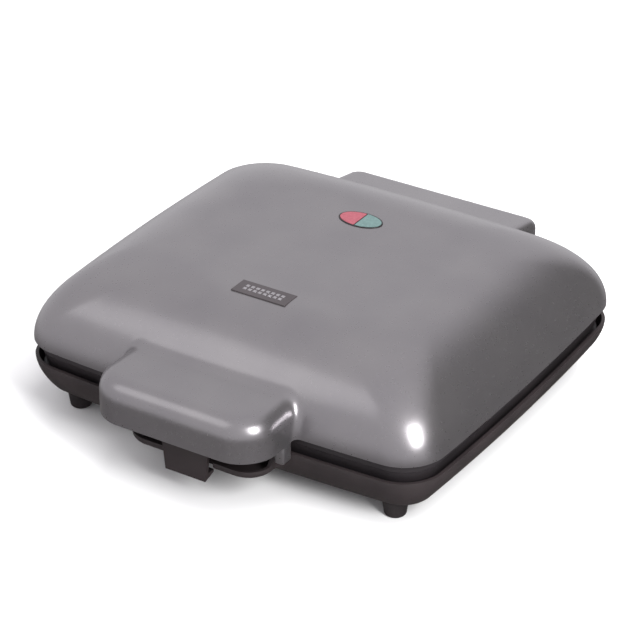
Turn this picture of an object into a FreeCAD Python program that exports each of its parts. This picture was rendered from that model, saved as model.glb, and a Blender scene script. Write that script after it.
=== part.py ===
import FreeCAD, Part

import math
import os
import re
import Sketcher
from FreeCAD import Placement, Rotation, Vector

# A four-slice waffle maker. The lid body's centre is x = y = 0 while the pieces are drawn; every
# finished piece is then moved by SHIFT, so that the origin is the centre of the whole footprint.
# z = 0 is the table. The front, with the handle, is towards -Y.

DIMENSIONS = {
    # how far a cutting piece runs past the face that it cuts
    "past": 1.0,
    # outline of the casing, seen from above
    "lid_width": 280.0,
    "lid_depth": 247.4,
    "corner_radius": 26.9,
    "front_bow": 5.0,
    "side_bow": 3.8,
    # lid dome: a quarter ellipse from the edge to the flat top
    "edge_height": 45.4,
    "dome_rise": 46.7,
    "dome_inset": 60.6,
    "corner_growth": 0.2,
    "dome_wall": 2.4,
    # parting plane of the two cooking plates
    "parting": 39.3,
    "parting_gap": 0.4,
    # base tub
    "base_bottom": 12.0,
    "base_wall": 2.0,
    "bottom_inset": 11.5,
    "tuck_height": 14.5,
    "tuck_inset": 8.2,
    "belly_height": 25.0,
    "belly_inset": 3.4,
    "rim_height": 34.5,
    "rim_inset": 0.2,
    # lid handle
    "handle_length": 38.3,
    "handle_width": 115.0,
    "handle_corner": 23.0,
    "handle_bottom": 43.5,
    "handle_top": 68.5,
    "handle_fillet": 11.0,
    "handle_root": 12.0,
    "handle_wall": 2.4,
    "cover_thick": 2.2,
    "cover_recess": 0.4,
    "tab_drop": 11.5,
    "tab_depth": 9.0,
    "tab_gap": 0.4,
    # grip lip of the base, under the handle
    "lip_length": 19.0,
    "lip_width": 93.0,
    "lip_corner": 16.0,
    "lip_bottom": 20.0,
    "lip_top": 25.6,
    "lip_wall": 1.8,
    "notch_depth": 6.2,
    "notch_gap": 1.2,
    # latch
    "latch_gap": 3.5,
    "latch_thick": 2.8,
    "latch_width": 30.8,
    "latch_end_width": 27.4,
    "latch_shoulder": 31.0,
    "latch_axis_height": 50.0,
    "latch_knuckle": 3.4,
    "hook_reach": 8.2,
    "hook_rise": 2.9,
    "hook_gap": 1.5,
    "hook_height": 5.0,
    "latch_pin_radius": 1.5,
    "latch_lug": 3.2,
    "lug_setback": 0.4,
    "slot_gap": 0.8,
    "slot_ahead": 5.2,
    "slot_behind": 5.0,
    # hinge
    "hinge_width": 135.0,
    "hinge_length": 23.1,
    "hinge_cover_back": 65.2,
    "hinge_cover_front": 71.6,
    "hinge_root": 14.0,
    "hinge_corner": 9.0,
    "hinge_edge": 4.0,
    "hinge_wall": 2.2,
    "axis_length": 14.3,
    "axis_height": 42.0,
    "knuckle_radius": 5.5,
    "ear_inner": 50.0,
    "ear_width": 8.4,
    "ear_depth": 6.5,
    "ear_gap": 0.6,
    "elbow_drop": 7.8,
    "shoulder_drop": 5.2,
    "neck_low": 226.0,
    "neck_high": 128.0,
    "pin_radius": 2.0,
    "pin_length": 14.8,
    "pin_play": 0.05,
    "lug_gap": 0.4,
    # rear bracket on the base, with the cord gland and the two hinge ears
    "block_width": 120.0,
    "block_length": 19.3,
    "block_bottom": 13.0,
    "block_top": 29.5,
    "block_corner": 6.0,
    "bracket_screw_x": 47.0,
    "boss_gap": 1.1,
    "bracket_bite": 5.0,
    "window_width": 72.0,
    "boss_length": 12.0,
    "gland_bore": 3.6,
    "gland_body": 6.0,
    "gland_flange": 7.6,
    "gland_length": 12.0,
    "gland_lip": 1.6,
    # liners that carry the plates
    "liner_inset": 4.2,
    "liner_foot_inset": 6.9,
    "lid_liner_inset": 3.8,
    "liner_rake": 0.093,
    "plate_inset": 9.6,
    "plate_gap": 0.3,
    "ledge": 4.0,
    "ledge_thick": 2.2,
    "moat_floor": 29.0,
    "moat_thick": 1.6,
    "vent_start": 42.5,
    "vent_length": 20.5,
    "vent_depth": 3.6,
    "screw_inset_x": 42.0,
    "screw_inset_y": 41.7,
    "lug_width": 12.0,
    "lug_thick": 4.0,
    "post_radius": 4.5,
    "screw_radius": 1.5,
    "head_radius": 3.1,
    "head_thick": 2.0,
    "screw_recess": 1.6,
    "tip_gap": 0.4,
    "lug_root": 1.5,
    "tab_width": 10.0,
    "plate_screw_inset": 19.0,
    "plate_screw_y": 30.0,
    # cooking plates
    "plate_thick": 12.3,
    "plate_floor": 2.3,
    "plate_border": 10.0,
    "plate_web": 9.0,
    "stud_height": 6.0,
    "stud_base": 15.0,
    "stud_crown": 11.0,
    "stud_columns": 5.0,
    "stud_rows": 4.0,
    # heating
    "element_radius": 3.3,
    "element_inset_x": 55.0,
    "element_inset_y": 53.7,
    "element_bend": 14.0,
    "cold_end_x": 22.0,
    "cold_end_inset": 25.7,
    "tray_margin": 7.0,
    "tray_sheet": 0.6,
    "tray_gap": 0.4,
    "tray_depth": 8.0,
    "clip_width": 10.0,
    "clip_sheet": 1.2,
    "thermostat_radius": 8.0,
    "thermostat_height": 6.0,
    "fuse_radius": 2.0,
    "fuse_length": 14.0,
    "fuse_x": 40.0,
    "fuse_y": 14.0,
    "strap_wing": 8.0,
    "strap_width": 8.0,
    "strap_sheet": 0.8,
    "terminal_length": 26.0,
    "terminal_width": 9.0,
    "terminal_height": 5.2,
    "terminal_gap": 4.0,
    # feet
    "foot_inset_x": 31.0,
    "foot_inset_y": 25.7,
    "foot_top_radius": 8.0,
    "foot_end_radius": 6.3,
    # indicator, name plate and lamp board on the lid
    "lens_inset": 81.7,
    "lens_x_radius": 14.6,
    "lens_y_radius": 8.9,
    "lens_thick": 3.4,
    "lens_proud": 0.5,
    "bezel_width": 0.9,
    "badge_inset": 59.9,
    "badge_length": 36.7,
    "badge_width": 13.6,
    "badge_thick": 1.2,
    "badge_proud": 0.4,
    "board_drop": 16.1,
    "board_length": 44.0,
    "board_width": 22.0,
    "board_thick": 1.6,
    "board_screw_edge": 4.0,
    "lamp_radius": 2.5,
    "lamp_height": 8.0,
    "loom_radius": 2.0,
    "loom_x": 30.0,
    "loom_rise": 3.3,
    "loom_lift": 3.0,
    "loom_gap": 0.6,
}

doc = FreeCAD.newDocument("WaffleMaker")
size = doc.addObject("Spreadsheet::Sheet", "size")
for row, (alias, number) in enumerate(DIMENSIONS.items(), start=1):
    size.set(f"A{row}", alias)
    size.set(f"B{row}", str(number))
    size.setAlias(f"B{row}", alias)
doc.recompute()

# Derived measures, as formulas on the sheet's cells.
SHIFT = "(handle_length - hinge_length) / 2"
HALF_X = "lid_width / 2"
HALF_Y = "lid_depth / 2"
LID_TOP = "(edge_height + dome_rise)"
LOWER_TOP = "(parting - parting_gap / 2)"
UPPER_BOTTOM = "(parting + parting_gap / 2)"
PLATE_BOTTOM = f"({LOWER_TOP} - plate_thick)"
PLATE_POCKET = f"({PLATE_BOTTOM} + plate_floor)"
ELEMENT_HEIGHT = f"({PLATE_BOTTOM} - element_radius)"
LEDGE_INSET = "(plate_inset + ledge)"
WALL_SLOPE = "((belly_inset - rim_inset) / (rim_height - belly_height))"

HANDLE_REACH = f"({HALF_Y} + handle_length)"
LIP_REACH = f"({HALF_Y} + lip_length)"
LATCH_REACH = f"({LIP_REACH} + latch_gap)"
LATCH_AXIS_REACH = f"({LATCH_REACH} - latch_thick / 2)"
HOOK_TOP = "(lip_bottom - hook_gap)"
LATCH_BOTTOM = f"({HOOK_TOP} - hook_height)"
HINGE_REACH = f"({HALF_Y} + hinge_length)"
AXIS_REACH = f"({HALF_Y} + axis_length)"
BLOCK_REACH = f"({HALF_Y} + block_length)"
GLAND_HEIGHT = "((block_bottom + block_top) / 2)"
BRACKET_SCREW_HEIGHT = f"({PLATE_BOTTOM} - ledge_thick - boss_gap - post_radius)"
SCREW_X, SCREW_Y = f"({HALF_X} - screw_inset_x)", f"({HALF_Y} - screw_inset_y)"
PLATE_SCREW_X = f"({HALF_X} - plate_screw_inset)"
ELEMENT_X, ELEMENT_Y = f"({HALF_X} - element_inset_x)", f"({HALF_Y} - element_inset_y)"
COLD_END_Y = f"({HALF_Y} - cold_end_inset)"
FOOT_X, FOOT_Y = f"({HALF_X} - foot_inset_x)", f"({HALF_Y} - foot_inset_y)"
BOARD_SCREW_X = "(board_length / 2 - board_screw_edge)"
LENS_Y, BADGE_Y = f"({HALF_Y} - lens_inset)", f"-({HALF_Y} - badge_inset)"
BOARD_HEIGHT = f"({LID_TOP} - board_drop)"


# ---------------------------------------------------------------- document helpers
def linked(formula):
    """The formula with each dimension's name pointing at its cell."""
    return re.sub(r"[a-z]\w*", lambda m: "size." + m[0] if m[0] in DIMENSIONS else m[0], str(formula))


def value(formula):
    return float(size.evalExpression(linked(formula)))


def bind(target, name, formula):
    target.setExpression(name, linked(formula))


def place(target, x, y, z, rotation=None):
    if rotation:
        target.Placement = Placement(Vector(), rotation)
    for axis, formula in zip("xyz", (x, y, z)):
        bind(target, f"Placement.Base.{axis}", formula)
    return target


def box(name, x, y, z, length, width, height):
    """A block from its lowest corner."""
    made = doc.addObject("Part::Box", name)
    for prop, formula in (("Length", length), ("Width", width), ("Height", height)):
        bind(made, prop, formula)
    return place(made, x, y, z)


def centred_box(name, x, y, z, length, width, height):
    """A block from the middle of its lower face."""
    return box(name, f"({x}) - ({length}) / 2", f"({y}) - ({width}) / 2", z, length, width, height)


ALONG_X = Rotation(Vector(0, 1, 0), 90)
ALONG_Y = Rotation(Vector(1, 0, 0), -90)


def cylinder(name, x, y, z, radius, height, rotation=None):
    made = doc.addObject("Part::Cylinder", name)
    bind(made, "Radius", radius)
    bind(made, "Height", height)
    return place(made, x, y, z, rotation)


def joined(name, pieces):
    made = doc.addObject("Part::MultiFuse", name)
    made.Shapes = pieces
    return made


def cut(name, solid, tools):
    made = doc.addObject("Part::Cut", name)
    made.Base = solid
    made.Tool = tools[0] if len(tools) == 1 else joined(name + "_tools", tools)
    return made


def common(name, solid, other):
    made = doc.addObject("Part::Common", name)
    made.Base = solid
    made.Tool = other
    return made


def mirrored_x(name, piece):
    """The piece and its mirror image on the other side of the middle, as one set."""
    twin = doc.addObject("Part::Mirroring", name + "_twin")
    twin.Source = piece
    twin.Normal = Vector(1, 0, 0)
    return joined(name, [piece, twin])


def four_corners(name, make, x, y):
    """The same piece at the four corners (+-x, +-y), as one set."""
    pieces = []
    for side in (-1, 1):
        for end in (-1, 1):
            pieces.append(make(f"{name}_{len(pieces)}", f"{side} * ({x})", f"{end} * ({y})"))
    return joined(name, pieces)


NODES = []


def node(label, made):
    """A finished piece: it takes its own label and moves with the footprint's centre."""
    made.Label = label
    lateral = dict(made.ExpressionEngine).get(".Placement.Base.y")
    shift = linked(SHIFT)
    made.setExpression("Placement.Base.y", f"{lateral} + {shift}" if lateral else shift)
    NODES.append(made)
    return made


# ---------------------------------------------------------------- sketches and features
def new_body(name):
    return doc.addObject("PartDesign::Body", name)


def new_sketch(body, name, plane, offset):
    """A sketch on one of the body's own planes, moved along its normal."""
    sketch = body.newObject("Sketcher::SketchObject", name)
    origin_plane = [f for f in body.Origin.OriginFeatures if f.Role == plane][0]
    sketch.AttachmentSupport = [(origin_plane, "")]
    sketch.MapMode = "FlatFace"
    bind(sketch, ".AttachmentOffset.Base.z", offset)
    return sketch


def dimension(sketch, kind, *arguments):
    """A driving constraint whose last argument is a formula."""
    *geometry, formula = arguments
    index = sketch.addConstraint(Sketcher.Constraint(kind, *geometry, value(formula)))
    sketch.setExpression(f"Constraints[{index}]", linked(formula))


def pin_down(sketch, geometry, point, axis, formula):
    """Holds one coordinate of a point: on the axis itself where the formula is 0."""
    if formula == "0":
        sketch.addConstraint(Sketcher.Constraint("PointOnObject", geometry, point, -2 if axis == "X" else -1))
    else:
        dimension(sketch, "Distance" + axis, -1, 1, geometry, point, formula)


def polygon(sketch, corners):
    """A closed polygon; each corner is a pair of formulas."""
    spots = [Vector(value(x), value(y), 0) for x, y in corners]
    count = len(spots)
    for i in range(count):
        sketch.addGeometry(Part.LineSegment(spots[i], spots[(i + 1) % count]))
    for i in range(count):
        sketch.addConstraint(Sketcher.Constraint("Coincident", i, 2, (i + 1) % count, 1))
    for i, (x, y) in enumerate(corners):
        pin_down(sketch, i, 1, "X", x)
        pin_down(sketch, i, 1, "Y", y)


def bowed_outline(sketch, inset, corner):
    """The casing's outline, inset all round: four bowed sides joined by tangent corner arcs."""
    half_x, half_y = f"({HALF_X} - ({inset}))", f"({HALF_Y} - ({inset}))"
    front_radius = f"(({half_x}^2 + front_bow^2) / (2 * front_bow))"
    side_radius = f"(({half_y}^2 + side_bow^2) / (2 * side_bow))"
    front_centre, side_centre = f"({half_y} - {front_radius})", f"({half_x} - {side_radius})"
    big, wide, small = value(front_radius), value(side_radius), value(corner)
    back_arc, right_arc = Vector(0, value(front_centre), 0), Vector(value(side_centre), 0, 0)
    # the corner arc touches both sides from inside
    gap = right_arc - back_arc
    along = ((big - small) ** 2 - (wide - small) ** 2 + gap.Length**2) / (2 * gap.Length)
    across = math.sqrt((big - small) ** 2 - along**2)
    unit = gap / gap.Length
    spot = back_arc + unit * along + Vector(unit.y, -unit.x, 0) * across
    side_end = math.atan2(spot.y, spot.x - right_arc.x)
    back_start = math.atan2(spot.y - back_arc.y, spot.x)
    turn, half = 2 * math.pi, math.pi
    arcs = [
        (Vector(spot.x, -spot.y, 0), small, -back_start, -side_end),
        (right_arc, wide, -side_end, side_end),
        (spot, small, side_end, back_start),
        (back_arc, big, back_start, half - back_start),
        (Vector(-spot.x, spot.y, 0), small, half - back_start, half - side_end),
        (Vector(-right_arc.x, 0, 0), wide, half - side_end, half + side_end),
        (Vector(-spot.x, -spot.y, 0), small, half + side_end, half + back_start),
        (Vector(0, -back_arc.y, 0), big, half + back_start, turn - back_start),
    ]
    for centre, radius, start, end in arcs:
        circle = Part.Circle(centre, Vector(0, 0, 1), radius)
        sketch.addGeometry(Part.ArcOfCircle(circle, start, end))
    for i in range(8):
        sketch.addConstraint(Sketcher.Constraint("Tangent", i, 2, (i + 1) % 8, 1))
    for i in (2, 4, 6):
        sketch.addConstraint(Sketcher.Constraint("Equal", 0, i))
    sketch.addConstraint(Sketcher.Constraint("Equal", 1, 5))
    sketch.addConstraint(Sketcher.Constraint("Equal", 3, 7))
    dimension(sketch, "Radius", 0, corner)
    dimension(sketch, "Radius", 1, side_radius)
    dimension(sketch, "Radius", 3, front_radius)
    for arc, sign in ((1, ""), (5, "-")):
        sketch.addConstraint(Sketcher.Constraint("PointOnObject", arc, 3, -1))
        dimension(sketch, "DistanceX", -1, 1, arc, 3, sign + side_centre)
    for arc, sign in ((3, ""), (7, "-")):
        sketch.addConstraint(Sketcher.Constraint("PointOnObject", arc, 3, -2))
        dimension(sketch, "DistanceY", -1, 1, arc, 3, sign + front_centre)


def tongue_outline(sketch, half_width, root, reach, corner):
    """A tongue from y = -root out to y = -reach, with two rounded front corners."""
    side, back, front, radius = (value(f) for f in (half_width, root, reach, corner))
    level = -front + radius
    edge = side - radius
    lines = [
        ((-side, -back), (-side, level)),
        ((-edge, -front), (edge, -front)),
        ((side, level), (side, -back)),
        ((side, -back), (-side, -back)),
    ]
    for start, end in lines:
        sketch.addGeometry(Part.LineSegment(Vector(*start, 0), Vector(*end, 0)))
    for centre, first in ((-edge, math.pi), (edge, 1.5 * math.pi)):
        circle = Part.Circle(Vector(centre, level, 0), Vector(0, 0, 1), radius)
        sketch.addGeometry(Part.ArcOfCircle(circle, first, first + math.pi / 2))
    for first, last in ((0, 4), (4, 1), (1, 5), (5, 2)):
        sketch.addConstraint(Sketcher.Constraint("Tangent", first, 2, last, 1))
    for first, last in ((2, 3), (3, 0)):
        sketch.addConstraint(Sketcher.Constraint("Coincident", first, 2, last, 1))
    sketch.addConstraint(Sketcher.Constraint("Vertical", 0))
    sketch.addConstraint(Sketcher.Constraint("Vertical", 2))
    sketch.addConstraint(Sketcher.Constraint("Horizontal", 1))
    sketch.addConstraint(Sketcher.Constraint("Horizontal", 3))
    sketch.addConstraint(Sketcher.Constraint("Equal", 4, 5))
    dimension(sketch, "Radius", 4, corner)
    dimension(sketch, "DistanceX", -1, 1, 0, 1, f"-({half_width})")
    dimension(sketch, "DistanceX", -1, 1, 2, 2, half_width)
    dimension(sketch, "DistanceY", -1, 1, 0, 1, f"-({root})")
    dimension(sketch, "DistanceY", -1, 1, 1, 1, f"-({reach})")


def pad(body, sketch, length):
    feature = body.newObject("PartDesign::Pad", sketch.Name + "_pad")
    feature.Profile = sketch
    bind(feature, "Length", length)
    return feature


def fillet(body, feature, name, radius, chosen):
    """Rounds the edges of the feature that the test picks."""
    doc.recompute()
    edges = [f"Edge{i}" for i, edge in enumerate(feature.Shape.Edges, start=1) if chosen(edge)]
    rounded = body.newObject("PartDesign::Fillet", name)
    rounded.Base = (feature, edges)
    bind(rounded, "Radius", radius)
    return rounded


def loft(body, name, sections, ruled=False):
    feature = body.newObject("PartDesign::AdditiveLoft", name)
    feature.Profile = sections[0]
    feature.Sections = sections[1:]
    feature.Ruled = ruled
    return feature


def outline_loft(name, stations, ruled=False):
    """A solid through casing outlines; a station is a height, an inset and a corner radius."""
    body = new_body(name)
    sections = []
    for i, (height, inset, corner) in enumerate(stations):
        sketch = new_sketch(body, f"{name}_section_{i}", "XY_Plane", height)
        bowed_outline(sketch, inset, corner)
        sections.append(sketch)
    loft(body, name + "_loft", sections, ruled)
    return body


def outline_slab(name, height, thickness, inset):
    """A flat slab with the casing's outline."""
    body = new_body(name)
    sketch = new_sketch(body, name + "_outline", "XY_Plane", height)
    bowed_outline(sketch, inset, f"corner_radius - ({inset})")
    pad(body, sketch, thickness)
    return body


def side_profile(name, start, width, corners):
    """A slab whose (y, z) side view is the polygon, from x = start over the width."""
    body = new_body(name)
    sketch = new_sketch(body, name + "_profile", "YZ_Plane", start)
    polygon(sketch, corners)
    pad(body, sketch, width)
    return body


def tongue(name, bottom, height, half_width, root, reach, corner):
    body = new_body(name)
    sketch = new_sketch(body, name + "_outline", "XY_Plane", bottom)
    tongue_outline(sketch, half_width, root, reach, corner)
    pad(body, sketch, height)
    return body


def level_edges(height, beyond):
    """A test for edges that lie at one height and reach past y = beyond."""
    height, beyond = value(height), value(beyond)

    def chosen(edge):
        spots = [vertex.Point for vertex in edge.Vertexes]
        flat = all(abs(p.z - height) < 1e-4 for p in spots)
        return flat and min(p.y for p in spots) < beyond - 1e-4

    return chosen


def upright_edges(reach):
    """A test for vertical edges at y = reach."""
    reach = value(reach)

    def chosen(edge):
        spots = [vertex.Point for vertex in edge.Vertexes]
        upright = abs(spots[0].x - spots[-1].x) < 1e-4 and abs(spots[0].y - spots[-1].y) < 1e-4
        return upright and abs(spots[0].y - reach) < 1e-4

    return chosen


def tube(name, radius, bend, route):
    """A round tube along straight runs joined by tangent arcs; route holds triples of formulas."""
    spots = [Vector(*(value(f) for f in point)) for point in route]
    bend, radius = value(bend), value(radius)
    edges, start = [], spots[0]
    for before, here, after in zip(spots, spots[1:], spots[2:]):
        entry, leave = (before - here).normalize(), (after - here).normalize()
        half_angle = entry.getAngle(leave) / 2
        reach = bend / math.tan(half_angle)
        middle = (entry + leave).normalize()
        crest = here + middle * (bend / math.sin(half_angle) - bend)
        first, last = here + entry * reach, here + leave * reach
        edges += [Part.LineSegment(start, first).toShape(), Part.Arc(first, crest, last).toShape()]
        start = last
    edges.append(Part.LineSegment(start, spots[-1]).toShape())
    ring = Part.Wire(Part.Circle(spots[0], spots[1] - spots[0], radius).toShape())
    made = doc.addObject("Part::Feature", name)
    made.Shape = Part.Wire(edges).makePipeShell([ring], True, True)
    return made


# ---------------------------------------------------------------- base shell
# One moulding: the tub, the grip lip at the front, and the posts and bosses inside.
def tub(name, wall, floor, top):
    """The tub's outer form, or its room where a wall and a floor are given."""
    stations = [
        (f"base_bottom + ({floor})", f"bottom_inset + ({wall})"),
        (f"tuck_height + ({floor}) / 2", f"tuck_inset + ({wall})"),
        ("belly_height", f"belly_inset + ({wall})"),
        (top, f"rim_inset + ({wall})"),
    ]
    sections = [(height, inset, f"corner_radius - ({inset})") for height, inset in stations]
    return outline_loft(name, sections, ruled=True)


tub_form = tub("tub_form", "0", "0", "rim_height")
tub_room = tub("tub_room", "base_wall", "base_wall", "rim_height")

lip_form = tongue("lip_form", "lip_bottom", "lip_top - lip_bottom", "lip_width / 2",
                  f"{HALF_Y} - bottom_inset", LIP_REACH, "lip_corner")
fillet(lip_form, lip_form.Tip, "lip_round", "lip_wall", level_edges("lip_bottom", f"bottom_inset - {HALF_Y}"))
lip_room = tongue("lip_room", "lip_bottom + lip_wall", "lip_top - lip_bottom", "lip_width / 2 - lip_wall",
                  f"{HALF_Y} - rim_inset", f"{LIP_REACH} - lip_wall", "lip_corner - lip_wall")
NOTCH_HALF = "(latch_width / 2 + notch_gap)"
lip_notch = box("lip_notch", f"-{NOTCH_HALF}", f"-{LIP_REACH} - past", "lip_bottom - past",
                f"2 * {NOTCH_HALF}", "notch_depth + past", "lip_top - lip_bottom + 2 * past")

open_tub = cut("open_tub", joined("tub_mass", [tub_form, lip_form]), [tub_room, lip_room, lip_notch])

POST_TOP = f"({PLATE_BOTTOM} - plate_gap / 2 - lug_thick)"
posts = four_corners("posts", lambda name, x, y: cylinder(
    name, x, y, "base_bottom + base_wall / 2", "post_radius", f"{POST_TOP} - base_bottom - base_wall / 2"),
    SCREW_X, SCREW_Y)
BOSS_START = f"({HALF_Y} - tuck_inset - boss_length)"
bosses = common("bosses", tub_form, mirrored_x("boss_pair", cylinder(
    "boss", "bracket_screw_x", BOSS_START, BRACKET_SCREW_HEIGHT, "post_radius",
    f"{HALF_Y} - {BOSS_START}", ALONG_Y)))
base_mass = joined("base_mass", [open_tub, posts, bosses])

BRACKET_GRIP = "(boss_length + tuck_inset + bracket_bite)"
bracket_bores = mirrored_x("bracket_bores", cylinder(
    "bracket_bore", "bracket_screw_x", f"{BOSS_START} - past", BRACKET_SCREW_HEIGHT, "screw_radius",
    f"{BRACKET_GRIP} + 2 * past", ALONG_Y))
wire_window = box("wire_window", "-window_width / 2", f"{HALF_Y} - bottom_inset - 2 * base_wall",
                  "block_bottom + hinge_wall", "window_width", "bottom_inset + 2 * base_wall",
                  "block_top - block_bottom - 2 * hinge_wall")
SCREW_SEAT = "(base_bottom + screw_recess)"
screw_bores = four_corners("screw_bores", lambda name, x, y: cylinder(
    name, x, y, "base_bottom - past", "screw_radius", f"{POST_TOP} - base_bottom + 2 * past"),
    SCREW_X, SCREW_Y)
screw_wells = four_corners("screw_wells", lambda name, x, y: cylinder(
    name, x, y, "base_bottom - past", "head_radius + 0.3", f"{SCREW_SEAT} - base_bottom + 1 + head_thick"),
    SCREW_X, SCREW_Y)
foot_bores = four_corners("foot_bores", lambda name, x, y: cylinder(
    name, x, y, "base_bottom - past", "screw_radius", "base_wall + 2 * past"), FOOT_X, FOOT_Y)
node("base_shell", cut("base_shell_cut", base_mass,
                       [wire_window, bracket_bores, screw_bores, screw_wells, foot_bores]))

# ---------------------------------------------------------------- rear bracket
# A hollow block behind the tub with the cord gland in it; two ears on it carry the lid's hinge.
BLOCK_ROOT = f"({HALF_Y} - bottom_inset)"
rear_form = new_body("rear_form")
rear_sketch = new_sketch(rear_form, "rear_outline", "XY_Plane", "block_bottom")
polygon(rear_sketch, [("-block_width / 2", BLOCK_ROOT), ("block_width / 2", BLOCK_ROOT),
                      ("block_width / 2", BLOCK_REACH), ("-block_width / 2", BLOCK_REACH)])
pad(rear_form, rear_sketch, "block_top - block_bottom")
fillet(rear_form, rear_form.Tip, "rear_round", "block_corner", upright_edges(BLOCK_REACH))
rear_room = box("rear_room", "-block_width / 2 + hinge_wall", f"{BLOCK_ROOT} - 2 * past",
                "block_bottom + hinge_wall", "block_width - 2 * hinge_wall",
                f"{BLOCK_REACH} - hinge_wall - {BLOCK_ROOT} + 2 * past",
                "block_top - block_bottom - 2 * hinge_wall")
bracket_posts = mirrored_x("bracket_posts", cylinder(
    "bracket_post", "bracket_screw_x", BLOCK_ROOT, BRACKET_SCREW_HEIGHT, "post_radius",
    f"{BLOCK_REACH} - hinge_wall / 2 - {BLOCK_ROOT}", ALONG_Y))

# Each ear is a gooseneck: it rises from the block in front of the lid's swinging rear wall.
EAR_BACK = f"({HALF_Y} + ear_depth)"
EAR_ROOT = f"({HALF_Y} - base_wall)"


def on_knuckle(angle):
    """A point on the knuckle's circle."""
    return (f"{AXIS_REACH} + knuckle_radius * cos({angle} * 1 deg)",
            f"axis_height + knuckle_radius * sin({angle} * 1 deg)")


ear_arm = side_profile("ear_arm", "ear_inner", "ear_width", [
    (EAR_ROOT, "block_top - hinge_wall"), (EAR_BACK, "block_top - hinge_wall"),
    (EAR_BACK, "axis_height - elbow_drop"), on_knuckle("neck_low"), (AXIS_REACH, "axis_height"),
    on_knuckle("neck_high"), (f"{HALF_Y} + ear_gap", "axis_height - shoulder_drop"),
    (EAR_ROOT, "rim_height")])
ear_knuckle = cylinder("ear_knuckle", "ear_inner", AXIS_REACH, "axis_height", "knuckle_radius",
                       "ear_width", ALONG_X)
ears = mirrored_x("ears", joined("ear", [ear_arm, ear_knuckle]))

pin_bore = mirrored_x("pin_bore", cylinder("pin_bore_side", "ear_inner - past", AXIS_REACH, "axis_height",
                                           "pin_radius", "ear_width + 2 * past", ALONG_X))
gland_bore = cylinder("gland_bore", "0", f"{BLOCK_REACH} - hinge_wall - past", GLAND_HEIGHT, "gland_body",
                      "hinge_wall + 2 * past", ALONG_Y)
LOOM_RISE_Y = f"({HALF_Y} + loom_rise)"
loom_hole = cylinder("loom_hole", "loom_x", LOOM_RISE_Y, "block_top - hinge_wall - past",
                     "loom_radius + loom_gap", "hinge_wall + 2 * past")
bracket_mass = joined("bracket_mass", [cut("hollow_block", rear_form, [rear_room]), bracket_posts, ears])
node("rear_bracket", cut("rear_bracket_cut", bracket_mass,
                         [tub_form, pin_bore, gland_bore, loom_hole, bracket_bores]))
bracket_head = cylinder("bracket_head", "bracket_screw_x", f"{BOSS_START} - head_thick",
                        BRACKET_SCREW_HEIGHT, "head_radius", "head_thick", ALONG_Y)
bracket_shank = cylinder("bracket_shank", "bracket_screw_x", BOSS_START, BRACKET_SCREW_HEIGHT,
                         "screw_radius", BRACKET_GRIP, ALONG_Y)
node("bracket_screws", mirrored_x("bracket_screw_pair",
                                  joined("bracket_screw", [bracket_head, bracket_shank])))

# ---------------------------------------------------------------- feet, base screws, cord gland
for side, x in (("left", f"-{FOOT_X}"), ("right", FOOT_X)):
    for end, y in (("front", f"-{FOOT_Y}"), ("rear", FOOT_Y)):
        cone = doc.addObject("Part::Cone", f"foot_cone_{end}_{side}")
        bind(cone, "Radius1", "foot_end_radius")
        bind(cone, "Radius2", "foot_top_radius")
        bind(cone, "Height", "base_bottom")
        place(cone, x, y, "0")
        well = cylinder(f"foot_well_{end}_{side}", x, y, "-past", "head_radius + 0.3", "base_bottom / 2 + past")
        hole = cylinder(f"foot_hole_{end}_{side}", x, y, "0", "screw_radius", "base_bottom + past")
        node(f"foot_{end}_{side}", cut(f"foot_cut_{end}_{side}", cone, [well, hole]))


def screw(name, x, y, seat, length, up=1):
    """A pan-head screw: its head is below the seat and its shank above it, or the reverse."""
    head_low = seat if up < 0 else f"({seat}) - head_thick"
    shank_low = f"({seat}) - ({length})" if up < 0 else seat
    head = cylinder(name + "_head", x, y, head_low, "head_radius", "head_thick")
    shank = cylinder(name + "_shank", x, y, shank_low, "screw_radius", length)
    return joined(name, [head, shank])


node("foot_screws", four_corners("foot_screws_set", lambda name, x, y: screw(
    name, x, y, "base_bottom / 2", "base_bottom / 2 + base_wall"), FOOT_X, FOOT_Y))
node("base_screws", four_corners("base_screws_set", lambda name, x, y: screw(
    name, x, y, f"{SCREW_SEAT} + head_thick",
    f"{POST_TOP} - {SCREW_SEAT} - head_thick + lug_thick - tip_gap"),
    SCREW_X, SCREW_Y))

GLAND_START = f"({BLOCK_REACH} + gland_lip - gland_length)"
gland_flange = cylinder("gland_flange_disc", "0", BLOCK_REACH, GLAND_HEIGHT, "gland_flange",
                        "gland_lip", ALONG_Y)
gland_sleeve = cylinder("gland_sleeve", "0", GLAND_START, GLAND_HEIGHT, "gland_body", "gland_length",
                        ALONG_Y)
gland_hole = cylinder("gland_hole", "0", f"{GLAND_START} - past", GLAND_HEIGHT, "gland_bore",
                      "gland_length + 2 * past", ALONG_Y)
node("cord_gland", cut("cord_gland_cut", joined("gland_mass", [gland_flange, gland_sleeve]), [gland_hole]))


# ---------------------------------------------------------------- liners round the plates
def lugs(name, height):
    """Four screw lugs that reach in from the ledge."""
    length = f"({HALF_X} - {LEDGE_INSET} + lug_root - {SCREW_X} + lug_width / 2)"
    right = [box(f"{name}_{end}", f"{SCREW_X} - lug_width / 2", f"{sign} * {SCREW_Y} - lug_width / 2", height,
                 length, "lug_width", "lug_thick") for end, sign in (("front", -1), ("rear", 1))]
    return mirrored_x(name, joined(name + "_right", right))


def plate_tabs(name, height):
    """Four tabs inside the ledge that take the plate's screws."""
    length = f"({HALF_X} - {LEDGE_INSET} + lug_root - {PLATE_SCREW_X} + tab_width / 2)"
    right = [box(f"{name}_{end}", f"{PLATE_SCREW_X} - tab_width / 2", f"{sign} * plate_screw_y - tab_width / 2",
                 height, length, "tab_width", "ledge_thick") for end, sign in (("front", -1), ("rear", 1))]
    return mirrored_x(name, joined(name + "_right", right))


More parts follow.
